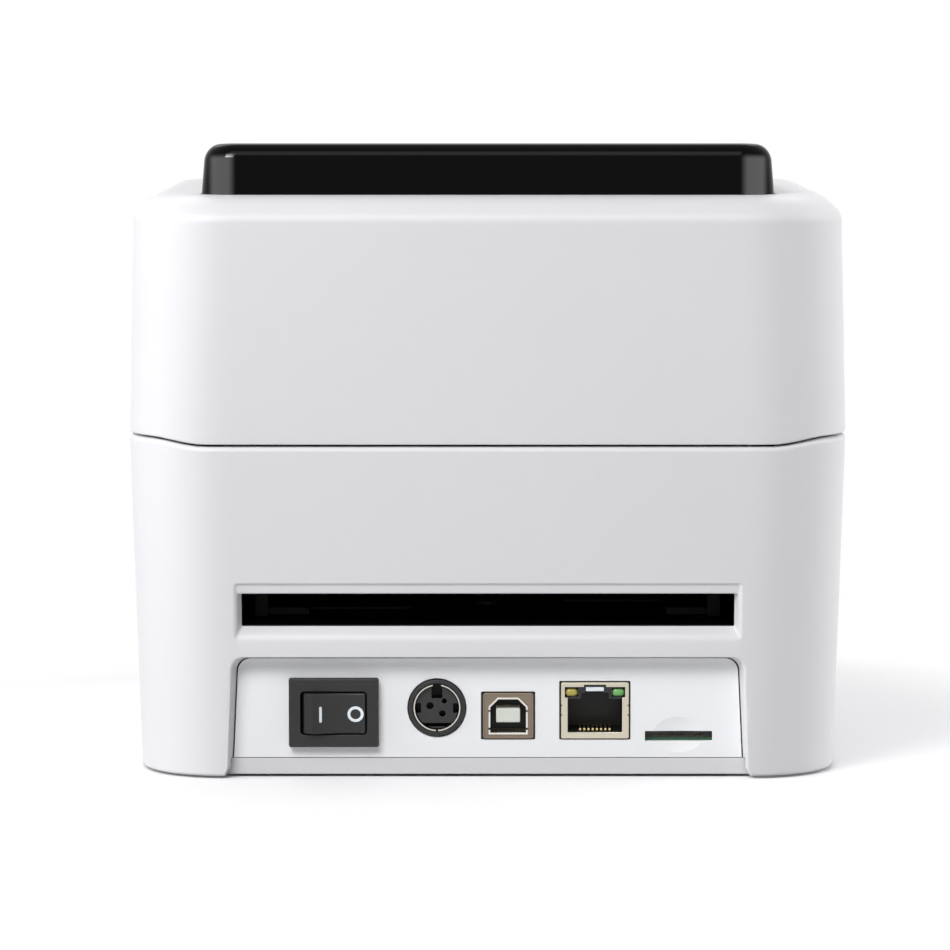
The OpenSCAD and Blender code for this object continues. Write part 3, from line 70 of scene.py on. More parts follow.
class Socket:
    """A node's output that arithmetic works on: each operator adds a Math node."""

    def __init__(self, finish, output):
        self.finish, self.output = finish, output

    def math(self, operation, a, b=0.0):
        return self.finish.node("ShaderNodeMath", {"operation": operation}, {0: a, 1: b})

    def __add__(self, other):
        return self.math("ADD", self, other)

    def __sub__(self, other):
        return self.math("SUBTRACT", self, other)

    def __rsub__(self, other):
        return self.math("SUBTRACT", other, self)

    def __mul__(self, other):
        return self.math("MULTIPLY", self, other)

    __radd__, __rmul__ = __add__, __mul__


class Finish:
    """A material or world built from nodes; node() adds one and gives its output."""

    def __init__(self, name, owner=None):
        self.material = owner or bpy.data.materials.new(name)
        self.material.use_nodes = True
        self.tree = self.material.node_tree
        self.tree.nodes.clear()

    def node(self, kind, settings=None, sockets=None, output=0):
        """Adds a node: its settings first, then the values or links of its sockets."""
        made = self.tree.nodes.new(kind)
        for key, value in (settings or {}).items():
            if key == "stops":
                for k, (place, colour) in enumerate(value):
                    ramp = made.color_ramp.elements
                    stop = ramp[k] if k < 2 else ramp.new(place)
                    stop.position, stop.color = place, colour
            else:
                setattr(made, key, value)
        for key, value in (sockets or {}).items():
            if isinstance(value, Socket):
                self.tree.links.new(value.output, made.inputs[key])
            else:
                made.inputs[key].default_value = value
        return Socket(self, made.outputs[output])

    def place(self):
        """Object coordinates, in metres."""
        return self.node("ShaderNodeTexCoord", output="Object")

    def noise(self, scale, detail=2.0, stretch=None):
        """Noise of `scale` features per metre, stretched along the axes if asked."""
        where = self.place()
        if stretch:
            where = self.node("ShaderNodeMapping", sockets={"Vector": where, "Scale": stretch})
        return self.node("ShaderNodeTexNoise",
                         sockets={"Vector": where, "Scale": scale, "Detail": detail})

    def blend(self, factor, low, high):
        """Colour that goes from low to high as the factor goes from 0 to 1."""
        return self.node("ShaderNodeMix", {"data_type": "RGBA"},
                         {"Factor": factor, 6: low, 7: high}, output=2)

    def bump(self, height, strength, distance):
        """Surface relief from a height, at a depth in metres."""
        return self.node("ShaderNodeBump", sockets={
            "Height": height, "Strength": strength, "Distance": distance})

    def close(self, sockets):
        """Ends the material in one Principled shader with these sockets."""
        return self.end(self.node("ShaderNodeBsdfPrincipled", sockets=sockets))

    def end(self, shader, kind="ShaderNodeOutputMaterial"):
        """Joins the last shader to the output."""
        out = self.tree.nodes.new(kind)
        self.tree.links.new(shader.output, out.inputs["Surface"])
        return self.material


def srgb(r, g, b):
    """A display colour, 0 to 255, as the linear colour that the shader takes."""
    c = np.array([r, g, b]) / 255
    linear = np.where(c <= 0.04045, c / 12.92, ((c + 0.055) / 1.055) ** 2.4)
    return (*(float(v) for v in linear), 1.0)


def scaled(colour, factor):
    """The colour times a factor, each channel held at 1."""
    return (*(min(1.0, v * factor) for v in colour[:3]), 1.0)


def moulded(name, colour, rough, grain=0.05, grain_size=0.45, mottle=0.02, **extra):
    """Moulded plastic: spark-eroded grain, faint flow mottle and uneven gloss."""
    f = Finish(name)
    flow = f.noise(22.0, 3.0)
    tint = f.blend(flow, scaled(colour, 1 - mottle), scaled(colour, 1 + mottle))
    fine = f.noise(1 / (grain_size * MM), 2.0)
    gloss = f.noise(160.0, 2.0)
    return f.close({"Base Color": tint, "Roughness": rough - 0.05 + 0.1 * gloss,
                    "Normal": f.bump(fine, grain, 0.05 * MM), **extra})


def arc(cx, cy, rx, ry, a0, a1, steps, power=2.0):
    """Arc of a superellipse: the centre plus rx and ry times the cosine and sine of
    a, each raised to 2 / power with its sign kept; a runs in equal steps."""
    a = np.radians(np.linspace(a0, a1, steps, endpoint=False))
    c, s = (np.sign(w) * np.abs(w) ** (2 / power) for w in (np.cos(a), np.sin(a)))
    return np.stack([cx + rx * c, cy + ry * s], -1)


def straight(start, end, steps):
    """Even points from start towards end, without the end itself."""
    return np.linspace(start, end, steps, endpoint=False)


def plan(half, front, rear, fc, rc, power=2.0):
    """Plan outline, counter-clockwise: a curve at each corner and straight runs.
    The rear corners are superellipses of that power, the front ones ellipses."""
    (fx, fy), (rx, ry) = fc, rc
    c, s, e = CORNER_STEPS, SIDE_STEPS, END_STEPS
    return np.concatenate([
        arc(half - rx, rear - ry, rx, ry, 0, 90, c, power),
        straight((half - rx, rear), (rx - half, rear), e),
        arc(rx - half, rear - ry, rx, ry, 90, 180, c, power),
        straight((-half, rear - ry), (-half, front + fy), s),
        arc(fx - half, front + fy, fx, fy, 180, 270, c),
        straight((fx - half, front), (half - fx, front), e),
        arc(half - fx, front + fy, fx, fy, 270, 360, c),
        straight((half, front + fy), (half, rear - ry), s)])


def smoothstep(t):
    """Three t squared less two t cubed, with t held between 0 and 1."""
    t = np.clip(t, 0, 1)
    return t * t * (3 - 2 * t)


def seam_lift(xy):
    """The parting line steps up round the corners: 0 amidships to SEAM_RISE outside."""
    return SEAM_RISE * smoothstep((np.abs(xy[:, 0]) - RISE_FROM) / (RISE_TO - RISE_FROM))


def piece_from(name, points, faces):
    """A mesh object from points in millimetres and faces given by their corners."""
    mesh = bpy.data.meshes.new(name)
    mesh.from_pydata((np.asarray(points) * MM).tolist(), [], faces)
    mesh.update()
    obj = bpy.data.objects.new(name, mesh)
    bpy.context.scene.collection.objects.link(obj)
    return obj


def grid_faces(m, n, close_m):
    """Quads of an m by n grid, closed round n, and round m too if asked."""
    i = np.arange(m if close_m else m - 1)[:, None]
    j = np.arange(n)[None, :]
    i1, j1 = (i + 1) % m, (j + 1) % n
    return np.stack([i * n + j, i * n + j1, i1 * n + j1, i1 * n + j], -1).reshape(-1, 4)


def tube(name, rings):
    """Closed ring-shaped solid: a profile of m points carried round n stations."""
    rings = np.asarray(rings)
    m, n = rings.shape[:2]
    return piece_from(name, rings.reshape(-1, 3), grid_faces(m, n, True).tolist())


def skin(name, rings):
    """Closed solid through a stack of rings, with a flat cap on each end."""
    rings = np.asarray(rings)
    m, n = rings.shape[:2]
    faces = grid_faces(m, n, False).tolist()
    faces += [list(range(n))[::-1], list(range((m - 1) * n, m * n))]
    return piece_from(name, rings.reshape(-1, 3), faces)


def combine(obj, others, operation="DIFFERENCE"):
    """Applies exact booleans of the other solids to obj, then deletes them."""
    for other in others:
        step = obj.modifiers.new("combine", "BOOLEAN")
        step.operation, step.solver, step.object = operation, "EXACT", other
    settle(obj)
    for other in others:
        bpy.data.objects.remove(other)
    return obj


def settle(obj):
    """Applies obj's modifiers."""
    graph = bpy.context.evaluated_depsgraph_get()
    mesh = bpy.data.meshes.new_from_object(obj.evaluated_get(graph))
    obj.modifiers.clear()
    old, obj.data = obj.data, mesh
    bpy.data.meshes.remove(old)
    return obj


def smooth(obj, angle=32):
    """Smooth shading that breaks at edges sharper than the angle, weighted by area."""
    obj.data.shade_smooth()
    obj.data.set_sharp_from_angle(angle=math.radians(angle))
    weigh = obj.modifiers.new("weigh", "WEIGHTED_NORMAL")
    weigh.keep_sharp = True
    return obj


def dress(obj, body, slot, material, *stands_for):
    """Gives a finished piece its material and body, and hides the nodes it stands for. The slot
    is not used.
    """
    obj.data.materials.clear()
    obj.data.materials.append(material)
    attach(obj, body)
    if stands_for:
        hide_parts(*stands_for)
    return obj


def base_ring(z, inset):
    """Plan of the tub at one height: the parting line's, drawn in by the draft."""
    h = SEAM_Z - z
    return plan(BODY_HALF - h * BASE_DRAFT - inset, FRONT_Y + h * END_DRAFT + inset,
                REAR_Y - h * END_DRAFT - inset, [c - inset for c in FRONT_CORNER],
                [c - inset for c in REAR_CORNER], REAR_POWER)


def lifted(xy, z, lift):
    """Plan points set at height z plus a lift, one number or one for each point."""
    return np.column_stack([xy, np.full(len(xy), z) + lift])


def quarter(radius, steps=5):
    """Rise and inset along a quarter-round edge that ends pointing inwards."""
    t = np.radians(np.linspace(0, 90, steps))
    return np.stack([radius * np.sin(t), radius * (1 - np.cos(t))], -1)


def base_profile():
    """(z, inset) up the outside, over the lip, down the inside and under the skirt."""
    top = SEAM_DIP_Z - SEAM_OPEN / 2
    outer = [(SKIRT_Z + SKIRT_ROUND - dz, di) for dz, di in quarter(SKIRT_ROUND)[::-1]]
    outer += [(z, 0.0) for z in np.linspace(SKIRT_Z + 1.6, top - LIP_ROUND - 0.4, 15)]
    outer += [(top - LIP_ROUND + dz, di) for dz, di in quarter(LIP_ROUND, 8)]
    rim = [(top, WALL - INNER_ROUND), (top - INNER_ROUND, WALL)]
    inner = [(z, WALL) for z in np.linspace(top - 1.5, SKIRT_Z + 1.0, 12)]
    return outer + rim + inner + [(SKIRT_Z, WALL - INNER_ROUND)]


def box_solid(name, x, y, z):
    """Box between the pairs of coordinates x, y and z."""
    corners = np.array([[x[i], y[j], z[k]] for k in (0, 1)
                        for i, j in ((0, 0), (1, 0), (1, 1), (0, 1))])
    return skin(name, corners.reshape(2, 4, 3))


def rod(name, start, axis, length, radius, steps=48):
    """Cylinder from start along an axis (0, 1 or 2); radius may be a list of rings."""
    radii = np.atleast_1d(radius)
    along = np.atleast_1d(length)
    if len(radii) == 1:
        radii, along = np.repeat(radii, 2), np.array([0.0, float(along[0])])
    a = np.linspace(0, 2 * math.pi, steps, endpoint=False)
    u, v = (axis + 1) % 3, (axis + 2) % 3
    rings = np.zeros((len(radii), steps, 3))
    rings[..., axis] = along[:, None]
    rings[..., u] = radii[:, None] * np.cos(a)
    rings[..., v] = radii[:, None] * np.sin(a)
    return skin(name, rings + np.array(start, float))


def mouth(name, outline, face_y, path):
    """Cutter that goes in along -Y: the outline grown by the outset at each depth."""
    rings = []
    for depth, outset in path:
        xz = outline(outset)
        rings.append(np.column_stack([xz[:, 0], np.full(len(xz), face_y - depth), xz[:, 1]]))
    return skin(name, rings)


def flared(radius, start, steps=6):
    """(depth, outset) down a convex rounded edge of that radius, outset start to 0."""
    t = np.radians(np.linspace(0, 90, steps))
    return [(radius * (1 - np.cos(a)), start + radius * (1 - np.sin(a))) for a in t]


def round_box(x0, x1, z0, z1, r, steps=6):
    """Rounded rectangle in the X-Z plane, with quarter circles at its corners."""
    return np.concatenate([
        arc(x1 - r, z1 - r, r, r, 0, 90, steps),
        arc(x0 + r, z1 - r, r, r, 90, 180, steps),
        arc(x0 + r, z0 + r, r, r, 180, 270, steps),
        arc(x1 - r, z0 + r, r, r, 270, 360, steps)])


SLOT_HALF, SLOT_Z0, SLOT_Z1 = 58.3, 36.3, 44.1
# depth, then how far the outline stands outside the slot: top, side, foot
SLOT_STEPS = [
    (-1.0, 2.6, 1.9, 3.6), (0.0, 2.6, 1.9, 3.6), (0.1, 2.35, 1.6, 3.1),
    (0.25, 2.2, 1.35, 2.7), (0.45, 2.1, 1.2, 2.35), (0.5, 0.4, 1.1, 2.25),
    (0.62, 0.15, 1.0, 2.05), (0.9, 0.0, 0.85, 1.7), (1.5, 0.0, 0.55, 1.1),
    (2.1, 0.0, 0.25, 0.5), (2.5, 0.0, 0.0, 0.1), (9.0, 0.0, 0.0, 0.0)]
slot_face = REAR_Y - (SEAM_Z - SLOT_Z0) * END_DRAFT


def slot_outline(grow):
    """Slot outline grown by (top, side, foot): a shallow step over the slot, and a
    lip below it that rolls out where the paper bears on it."""
    top, side, foot = grow
    return round_box(-SLOT_HALF - side, SLOT_HALF + side, SLOT_Z0 - foot, SLOT_Z1 + top,
                     0.4 + 0.3 * side)


PANEL_HALF, PANEL_TOP, PANEL_CORNER, PANEL_SKEW = 59.5, 28.5, 3.2, 1.2
PANEL_Y, PANEL_T = 102.7, 2.0
RECESS_FLARE, RECESS_ROUND = 1.1, 0.5
CORNER_GAP = 1.6


def panel_outline(outset, foot=-1.0):
    """Connector panel: rounded upper corners and sides that spread to the foot."""
    x, top, r = PANEL_HALF + outset, PANEL_TOP + 0.4 * outset, PANEL_CORNER
    return np.concatenate([
        arc(x - r, top - r, r, r, 0, 90, 10), arc(r - x, top - r, r, r, 90, 180, 10),
        [[-x - PANEL_SKEW * 0.9, 2.5], [-x - PANEL_SKEW - CORNER_GAP, foot],
         [x + PANEL_SKEW + CORNER_GAP, foot], [x + PANEL_SKEW * 0.9, 2.5]]])


LATCH_Y, PAD_Z0, PAD_Z1 = -30.0, 63.8, 75.8
PAD_Y0, PAD_Y1 = LATCH_Y - 12, LATCH_Y + 8
EXIT_HALF, LIP_Z = 58.0, 78.4
BOSS_X, BOSS_YS, BOSS_R, BOSS_TOP, PLATE_TOP = 72.0, (-80, 0, 80), 3.5, 31.0, 4.5

white = moulded("white_abs", srgb(221, 221, 224), 0.45)

housing = tube("housing_shell", [
    lifted(ring := base_ring(z, inset), z,
           seam_lift(ring) * smoothstep((z - SEAM_DIP_Z + 1 + RISE_BLEND) / RISE_BLEND))
    for z, inset in base_profile()])
frame_half = PANEL_HALF + 4
added = [box_solid("frame", (-frame_half, frame_half), (PANEL_Y - PANEL_T, REAR_Y - WALL / 2),
                   (PLATE_TOP + 0.2, PANEL_TOP + 2.2))]
for side in (-1, 1):
    for y in BOSS_YS:
        added.append(rod("boss", (side * BOSS_X, y, PLATE_TOP), 2,
                         BOSS_TOP - PLATE_TOP, BOSS_R))
        added.append(box_solid("web", sorted((side * BOSS_X, side * (BODY_HALF - WALL - 0.9))),
                               (y - 0.8, y + 0.8), (PLATE_TOP, BOSS_TOP - 2)))
combine(housing, added, "UNION")
cuts = [
    mouth("slot", slot_outline, slot_face, [(step[0], step[1:]) for step in SLOT_STEPS]),
    mouth("recess", panel_outline, REAR_Y - 0.6,
          [(-2, RECESS_FLARE + RECESS_ROUND)] + flared(RECESS_ROUND, RECESS_FLARE)
          + [(REAR_Y - 0.6 - PANEL_Y, 0.15), (REAR_Y - PANEL_Y + 4, 0.15)]),
    box_solid("exit", (-EXIT_HALF, EXIT_HALF), (FRONT_Y - 1, FRONT_Y + 8),
              (LIP_Z, SEAM_Z + 4)),
]
for side in (-1, 1):
    cuts.append(box_solid("pad", sorted((side * (BODY_HALF - 6.25), side * (BODY_HALF + 1))),
                          (PAD_Y0, PAD_Y1), (PAD_Z0, PAD_Z1)))
combine(housing, cuts)
dress(smooth(housing), "base", "white_shell", white, "lower_housing")

# ------------------------------------------------------------------ lid shell
# The clamshell's upper half, in the same white ABS: a shoulder that rises from a
# soft crease, a sloped front that carries the keys, and a window opening.

LID_TOP = 138.0
CREASE_Z, CREASE_ROUND = 132.9, 1.5
SHOULDER_RUN = 9.0
BREAK_Z, BREAK_BLEND, SLOPE_RUN = 103.8, 7.0, 50.0
BEND_LOW, BEND_HIGH = BREAK_Z - BREAK_BLEND, BREAK_Z + BREAK_BLEND
SLOPE_K = SLOPE_RUN / (LID_TOP - BREAK_Z)
SLOPE = math.atan(1 / SLOPE_K)
LID_FOOT_ROUND = 0.35
WINDOW_HALF, WINDOW_REAR, WINDOW_FRONT, WINDOW_CORNER = 68.1, 98.5, -43.5, 8.0
KEY_X, KEY_RUNS, KEY_R = 64.0, (16.0, 33.0), 5.5
LIGHT_XS, LIGHT_RUN, LIGHT_R = (40.0, 47.0, 54.0), 16.0, 1.6
HINGE_Y, HINGE_Z = 101.2, 96.0


def lid_front(z):
    """Front line: upright below the break, a parabolic bend, then a straight slope."""
    t, b = z - BREAK_Z, BREAK_BLEND
    bend = np.where(t < -b, 0, np.where(t > b, t * SLOPE_K, SLOPE_K * (t + b) ** 2 / (4 * b)))
    return FRONT_Y + (min(z, BREAK_Z) - SEAM_Z) * END_DRAFT + float(bend)


def lid_ring(z, inset, lift=0.0):
    """Plan of the lid at one height, drawn in by its draft; its corners keep the
    outer radius less the wall, and its front line is read at z plus the lift."""
    h = z - SEAM_Z
    trim = min(inset, WALL)
    return plan(BODY_HALF - h * LID_DRAFT - inset, lid_front(z + lift) + inset,
                REAR_Y - h * END_DRAFT - inset, [c - trim for c in FRONT_CORNER],
                [c - trim for c in REAR_CORNER], REAR_POWER)


def shoulder(steps=12):
    """(z, inset) over the shoulder: a short parabola round the crease, then a cubic
    curve that leaves it at 50 degrees and ends level."""
    t = np.linspace(0.1, 1, steps)[:, None]
    rise = LID_TOP - CREASE_Z
    p = np.array([[0, 0], [0.78 * rise, 0.38 * SHOULDER_RUN], [rise, 0.55 * SHOULDER_RUN],
                  [rise, SHOULDER_RUN]])
    curve = (1 - t) ** 3 * p[0] + 3 * t * (1 - t) ** 2 * p[1] + 3 * t ** 2 * (1 - t) * p[2]
    curve += t ** 3 * p[3]
    turn = np.linspace(0, 1, 7)[:-1, None]
    bend = (1 - turn) ** 2 * np.array([-CREASE_ROUND, 0]) + turn ** 2 * curve[0]
    return [(CREASE_Z + z, inset) for z, inset in np.concatenate([bend, curve])]


def window_ring(grow, z):
    """Plan of the window opening, grown by a clearance, at one height."""
    xy = plan(WINDOW_HALF + grow, WINDOW_FRONT - grow, WINDOW_REAR + grow,
              (WINDOW_CORNER, WINDOW_CORNER), (WINDOW_CORNER, WINDOW_CORNER))
    return lifted(xy, z, 0)


def lid_rings():
    """Profile from the foot up the outside to the window edge and back inside."""
    foot = SEAM_DIP_Z + SEAM_OPEN / 2
    levels = [(foot, LID_FOOT_ROUND), (foot + 0.12, 0.12), (foot + LID_FOOT_ROUND, 0)]
    levels += [(z, 0) for z in np.linspace(foot + 2, BEND_LOW, 6)]
    levels += [(z, 0) for z in np.linspace(BEND_LOW, BEND_HIGH, 9)[1:]]
    levels += [(z, 0) for z in np.linspace(BEND_HIGH, CREASE_Z, 8)[1:-1]]
    rings = []
    for z, inset in levels + shoulder():
        xy = lid_ring(z, inset)
        rings.append(lifted(xy, z, seam_lift(xy) * smoothstep((foot + 9 - z) / 9)))
    rings += [window_ring(0.35, LID_TOP), window_ring(0.2, LID_TOP - 0.15)]
    ceiling = LID_TOP - WALL
    rings += [window_ring(0.2, ceiling)]
    inside = [(ceiling, WALL + 6.0), (ceiling - 1.0, WALL + 2.2), (ceiling - 3.4, WALL)]
    inside += [(z, WALL) for z in np.linspace(ceiling - 6, BEND_HIGH, 6)]
    inside += [(z, WALL) for z in np.linspace(BEND_HIGH, BEND_LOW, 7)[1:]]
    inside += [(z, WALL) for z in np.linspace(BEND_LOW, foot + 1, 4)[1:]]
    for z, inset in inside + [(foot, WALL - LID_FOOT_ROUND)]:
        xy = lid_ring(z, inset, WALL / 2)
        rings.append(lifted(xy, z, seam_lift(xy) * smoothstep((foot + 9 - z) / 9)))
    return rings


def on_slope(xy_run_height):
    """Points given as (x, run up the slope, height off it) in the object's frame."""
    x, run, up = np.asarray(xy_run_height, float).T
    foot_y, foot_z = lid_front(BEND_HIGH), BEND_HIGH
    c, s = math.cos(SLOPE), math.sin(SLOPE)
    return np.column_stack([x, foot_y + run * c - up * s, foot_z + run * s + up * c])


def slope_rod(name, x, run, levels, steps=64):
    """Turned solid square to the slope; levels are (height off the slope, radius)."""
    a = np.linspace(0, 2 * math.pi, steps, endpoint=False)
    rings = [on_slope(np.column_stack([x + r * np.cos(a), run + r * np.sin(a),
                                       np.full(steps, up)])) for up, r in levels]
    return skin(name, rings)


LUG_X, LUG_R, LUG_END = (69.4, 73.9), 3.23, REAR_Y - 3.0
KEY_HOLE = [(-12, 0.4), (-0.4, 0.4), (-0.1, 0.55), (0.0, 0.8), (3, 1)]
LIGHT_HOLE = [(-12, 0.1), (-0.25, 0.1), (0, 0.35), (3, 0.35)]

lid = tube("lid_shell", lid_rings())
lugs = []
for side in (-1, 1):
    a = np.radians(np.linspace(90, 270, 16))
    round_end = np.column_stack([HINGE_Y + LUG_R * np.cos(a), HINGE_Z + LUG_R * np.sin(a)])
    yz = np.concatenate([round_end, [[LUG_END, HINGE_Z - LUG_R],
                                     [LUG_END, HINGE_Z + LUG_R + 3]]])
    lugs.append(skin("lug", [np.column_stack([np.full(len(yz), x), yz])
                             for x in sorted(side * x for x in LUG_X)]))
combine(lid, lugs, "UNION")
holes = [slope_rod("key_hole", KEY_X, run, [(up, KEY_R + gap) for up, gap in KEY_HOLE])
         for run in KEY_RUNS]
holes += [slope_rod("light_hole", x, LIGHT_RUN, [(up, LIGHT_R + gap) for up, gap in LIGHT_HOLE],
                    32) for x in LIGHT_XS]
holes.append(box_solid("exit", (-EXIT_HALF, EXIT_HALF), (FRONT_Y - 1, FRONT_Y + 8),
                       (SEAM_Z - 4, SEAM_Z + 6.2)))
combine(lid, holes)
dress(smooth(lid, 28), "lid", "white_shell", white, "top_cover")

# --------------------------------------------------------------------- window
# Vacuum-smooth dome of smoked polycarbonate that stands proud of the lid; its
# flange is held from inside, so only the rounded dome shows.

WINDOW_T, WINDOW_ROUND, WINDOW_FOOT = 2.4, 4.0, 133.4
RISE_REAR, RISE_FRONT = 12.3, 3.6
ROOF_FALL = (RISE_REAR - RISE_FRONT) / (WINDOW_REAR - WINDOW_FRONT)
WINDOW_DRAFT = 0.0012
middle_y = (WINDOW_REAR + WINDOW_FRONT) / 2


def dome_ring(inset, drop):
    """Dome outline at `drop` below the roof, which falls evenly to the front."""
    corner = WINDOW_CORNER - min(inset, WINDOW_CORNER - 3)
    xy = plan(WINDOW_HALF - inset, WINDOW_FRONT + inset, WINDOW_REAR - inset,
              (corner, corner), (corner, corner))
    return xy, LID_TOP + RISE_REAR - (WINDOW_REAR - xy[:, 1]) * ROOF_FALL - drop


def dome(inset, foot, steps=12):
    """Rings of the dome from its foot up the wall and over the rounded edge."""
    xy, _ = dome_ring(inset, 0)
    rings = [lifted(xy, z, 0) for z in np.linspace(foot, LID_TOP - 0.2, 3)]
    a = np.radians(np.linspace(0, 90, steps))
    for c, s in zip(np.cos(a), np.sin(a)):
        xy, z = dome_ring(inset + WINDOW_ROUND * (1 - c) * 0.9, inset + WINDOW_ROUND * (1 - s))
        rings.append(np.column_stack([xy, z]))
    return rings


def roof(rings):
    """Rings that close the dome's roof: the last ring drawn in to its middle line."""
    last = rings[-1]
    centre = last.mean(0)
    made = []
    for t in (0.1, 0.3, 0.6, 0.95):
        ring = last.copy()
        ring[:, :2] = last[:, :2] * (1 - t) + centre[:2] * t
        ring[:, 2] = last[:, 2] + (ring[:, 1] - last[:, 1]) * ROOF_FALL
        made.append(ring)
    return rings + made


def leaned(rings):
    """Rings drawn in evenly with their height above the lid, which is the draft."""
    made = []
    for x, y, z in (ring.T for ring in rings):
        draft = 1 - WINDOW_DRAFT * np.clip(z - LID_TOP, 0, None)
        made.append(np.column_stack([x * draft, middle_y + (y - middle_y) * draft, z]))
    return made


window = skin("window_dome", leaned(roof(dome(0, WINDOW_FOOT))))
combine(window, [skin("hollow", leaned(roof(dome(WINDOW_T, WINDOW_FOOT - 1))))])
smoked = Finish("smoked_polycarbonate")
haze = smoked.noise(9.0, 3.0)
x, y, z = (smoked.node("ShaderNodeSeparateXYZ", sockets={0: smoked.place()}, output=k)
           for k in range(3))


def fade(value, start, end):
    """0 to 1 as a socket's value goes from start to end, in millimetres."""
    return smoked.node("ShaderNodeMapRange", {"interpolation_type": "SMOOTHSTEP"}, {
        "Value": value, "From Min": start * MM, "From Max": end * MM})


def size_of(value):
    """A socket's value without its sign."""
    return smoked.node("ShaderNodeMath", {"operation": "ABSOLUTE"}, {0: value})


# A band of coat on the wall's upright corners, fading before their outer edge and below the roof,
# is a painted highlight there; the flats and the roof have none.
corner_x, corner_y = WINDOW_HALF - WINDOW_CORNER, WINDOW_REAR - WINDOW_CORNER - middle_y
GLINT_TOP, GLINT_FADE = 140.4, 1.5
painted_glint = fade(size_of(x), corner_x - 0.6, corner_x + 1.6)
painted_glint = painted_glint * fade(size_of(x), WINDOW_HALF - 1.6, WINDOW_HALF - 3.4)
painted_glint = painted_glint * fade(size_of(y - middle_y * MM), corner_y - 0.8, corner_y + 1.2)
painted_glint = painted_glint * fade(z - y * ROOF_FALL, GLINT_TOP + GLINT_FADE, GLINT_TOP)
smoked.close({"Base Color": srgb(5, 5, 6), "Roughness": 0.05 + 0.05 * haze,
              "Coat Weight": painted_glint, "Coat IOR": 1.9, "Coat Roughness": 0.08,
              "IOR": 1.4, "Specular IOR Level": 0.08})
dress(smooth(window, 40), "lid", "smoked_window", smoked.material, "window")

# ------------------------------------------------------------ connector panel
# A separate, smoother ABS plate let in behind the recess. Its cut-outs clear the
# sockets by a hair, and a shallow thumb dish crosses the memory card slot.

def span(node):
    """A node's lowest and highest corners, in millimetres."""
    return np.array(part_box(node)) / MM


def inset(outline, distance):
    """Outline moved inwards: each corner slides along the bisector of its edges."""
    edge = np.roll(outline, -1, 0) - outline
    normal = np.column_stack([edge[:, 1], -edge[:, 0]])
    normal /= np.linalg.norm(normal, axis=1, keepdims=True)
    before = np.roll(normal, 1, 0)
    return outline - distance * (normal + before) / (1 + (normal * before).sum(1)[:, None])


def pressed(name, outline, face_y, depth, edge=0.2, steps=4):
    """Solid that runs in along -Y from face_y, its front rim a quarter round."""
    t = np.radians(np.linspace(0, 90, steps))
    levels = list(zip(edge * (1 - np.sin(t)), edge * (1 - np.cos(t)))) + [(0.0, depth)]
    return skin(name, [np.insert(inset(outline, i), 1, face_y - d, axis=1) for i, d in levels])


def punched(name, outline, face_y, depth, edge=0.15):
    """Cutter for a hole of that outline, with a rounded rim at face_y."""
    return mouth(name, lambda outset: inset(outline, -outset), face_y,
                 [(-1, edge)] + flared(edge, 0, 4) + [(depth, 0)])


def circle(x, z, radius, steps=64):
    """Circle in the X-Z plane."""
    return arc(x, z, radius, radius, 0, 360, steps)


def centred(x, z, width, height, radius, steps=6):
    """Rounded rectangle about a centre."""
    return round_box(x - width / 2, x + width / 2, z - height / 2, z + height / 2, radius,
                     steps)


def middle(node):
    """Where a node's middle lies on the panel, as x and z."""
    low, high = span(node)
    return (low[0] + high[0]) / 2, (low[2] + high[2]) / 2


SWITCH_W, SWITCH_H, HOLE_GAP = 21.0, 16.2, 0.4
DATA_SHELL, NETWORK_SHELL = (12.04, 10.9), (16.1, 13.4)
SWITCH = middle("switch_body")
POWER = middle("dc_shield")[0], span("dc_socket")[1][2] - 6.8
DATA, NETWORK = middle("usb_shell"), middle("lan_shell")
CARD_X, CARD_W, CARD_H = -45.3, 16.0, 2.4
CARD_Z = span("main_board")[1][2] + 0.6
DISH_W, DISH_H, DISH_DEPTH = 6.1, 4.3, 0.55
PANEL_FOOT = span("rear_panel")[0][2]

side_x = PANEL_HALF - 0.15
foot_x = side_x + PANEL_SKEW * 0.8
bend_x, bend_z = side_x - PANEL_CORNER, PANEL_TOP - 0.15 - PANEL_CORNER
plate = np.concatenate([
    arc(bend_x, bend_z, PANEL_CORNER, PANEL_CORNER, 0, 90, 12),
    arc(-bend_x, bend_z, PANEL_CORNER, PANEL_CORNER, 90, 180, 12),
    [[-foot_x, PANEL_FOOT], [foot_x, PANEL_FOOT]]])
panel = pressed("connector_panel", plate, PANEL_Y, PANEL_T, 0.12, 3)
down = np.linspace(-0.3, DISH_DEPTH * 0.995, 14)
spread = np.sqrt(1 - down / DISH_DEPTH)
turn = np.linspace(0, 2 * math.pi, 72, endpoint=False)
dish = skin("dish", [np.column_stack([
    CARD_X + s * DISH_W * np.cos(turn), np.full(72, PANEL_Y - d),
    CARD_Z + 0.4 + s * DISH_H * np.sin(turn)]) for s, d in zip(spread, down)])
combine(panel, [
    dish,
    punched("switch_hole", centred(*SWITCH, SWITCH_W - 1.4, SWITCH_H - 1.4, 0.3), PANEL_Y, 4),
    punched("power_hole", circle(*POWER, 7.0), PANEL_Y, 4),
    punched("data_hole", centred(*DATA, DATA_SHELL[0] + 2 * HOLE_GAP,
                                 DATA_SHELL[1] + 1.4 * HOLE_GAP, 0.3), PANEL_Y, 4),
    punched("network_hole", centred(*NETWORK, NETWORK_SHELL[0] + 2 * HOLE_GAP,
                                    NETWORK_SHELL[1] + 1.6 * HOLE_GAP, 0.3), PANEL_Y, 4),
    punched("card_hole", centred(CARD_X, CARD_Z, CARD_W, CARD_H, 0.15), PANEL_Y, 4, 0.1),
])
# The plate's white is lighter than the tub's: partly its smoother moulding's own white, partly
# painted light for the bounce it catches.
lit_panel_white = moulded("panel_abs_lit", srgb(247, 248, 250), 0.4, grain=0.02)
dress(smooth(panel, 25), "base", "white_panel", lit_panel_white, "rear_panel")

# --------------------------------------------------------------- rocker switch
# A snap-in power switch of black nylon: a flat bezel, a well and a dished rocker
# that stands pressed at its 0 end, with both marks printed on it in white.

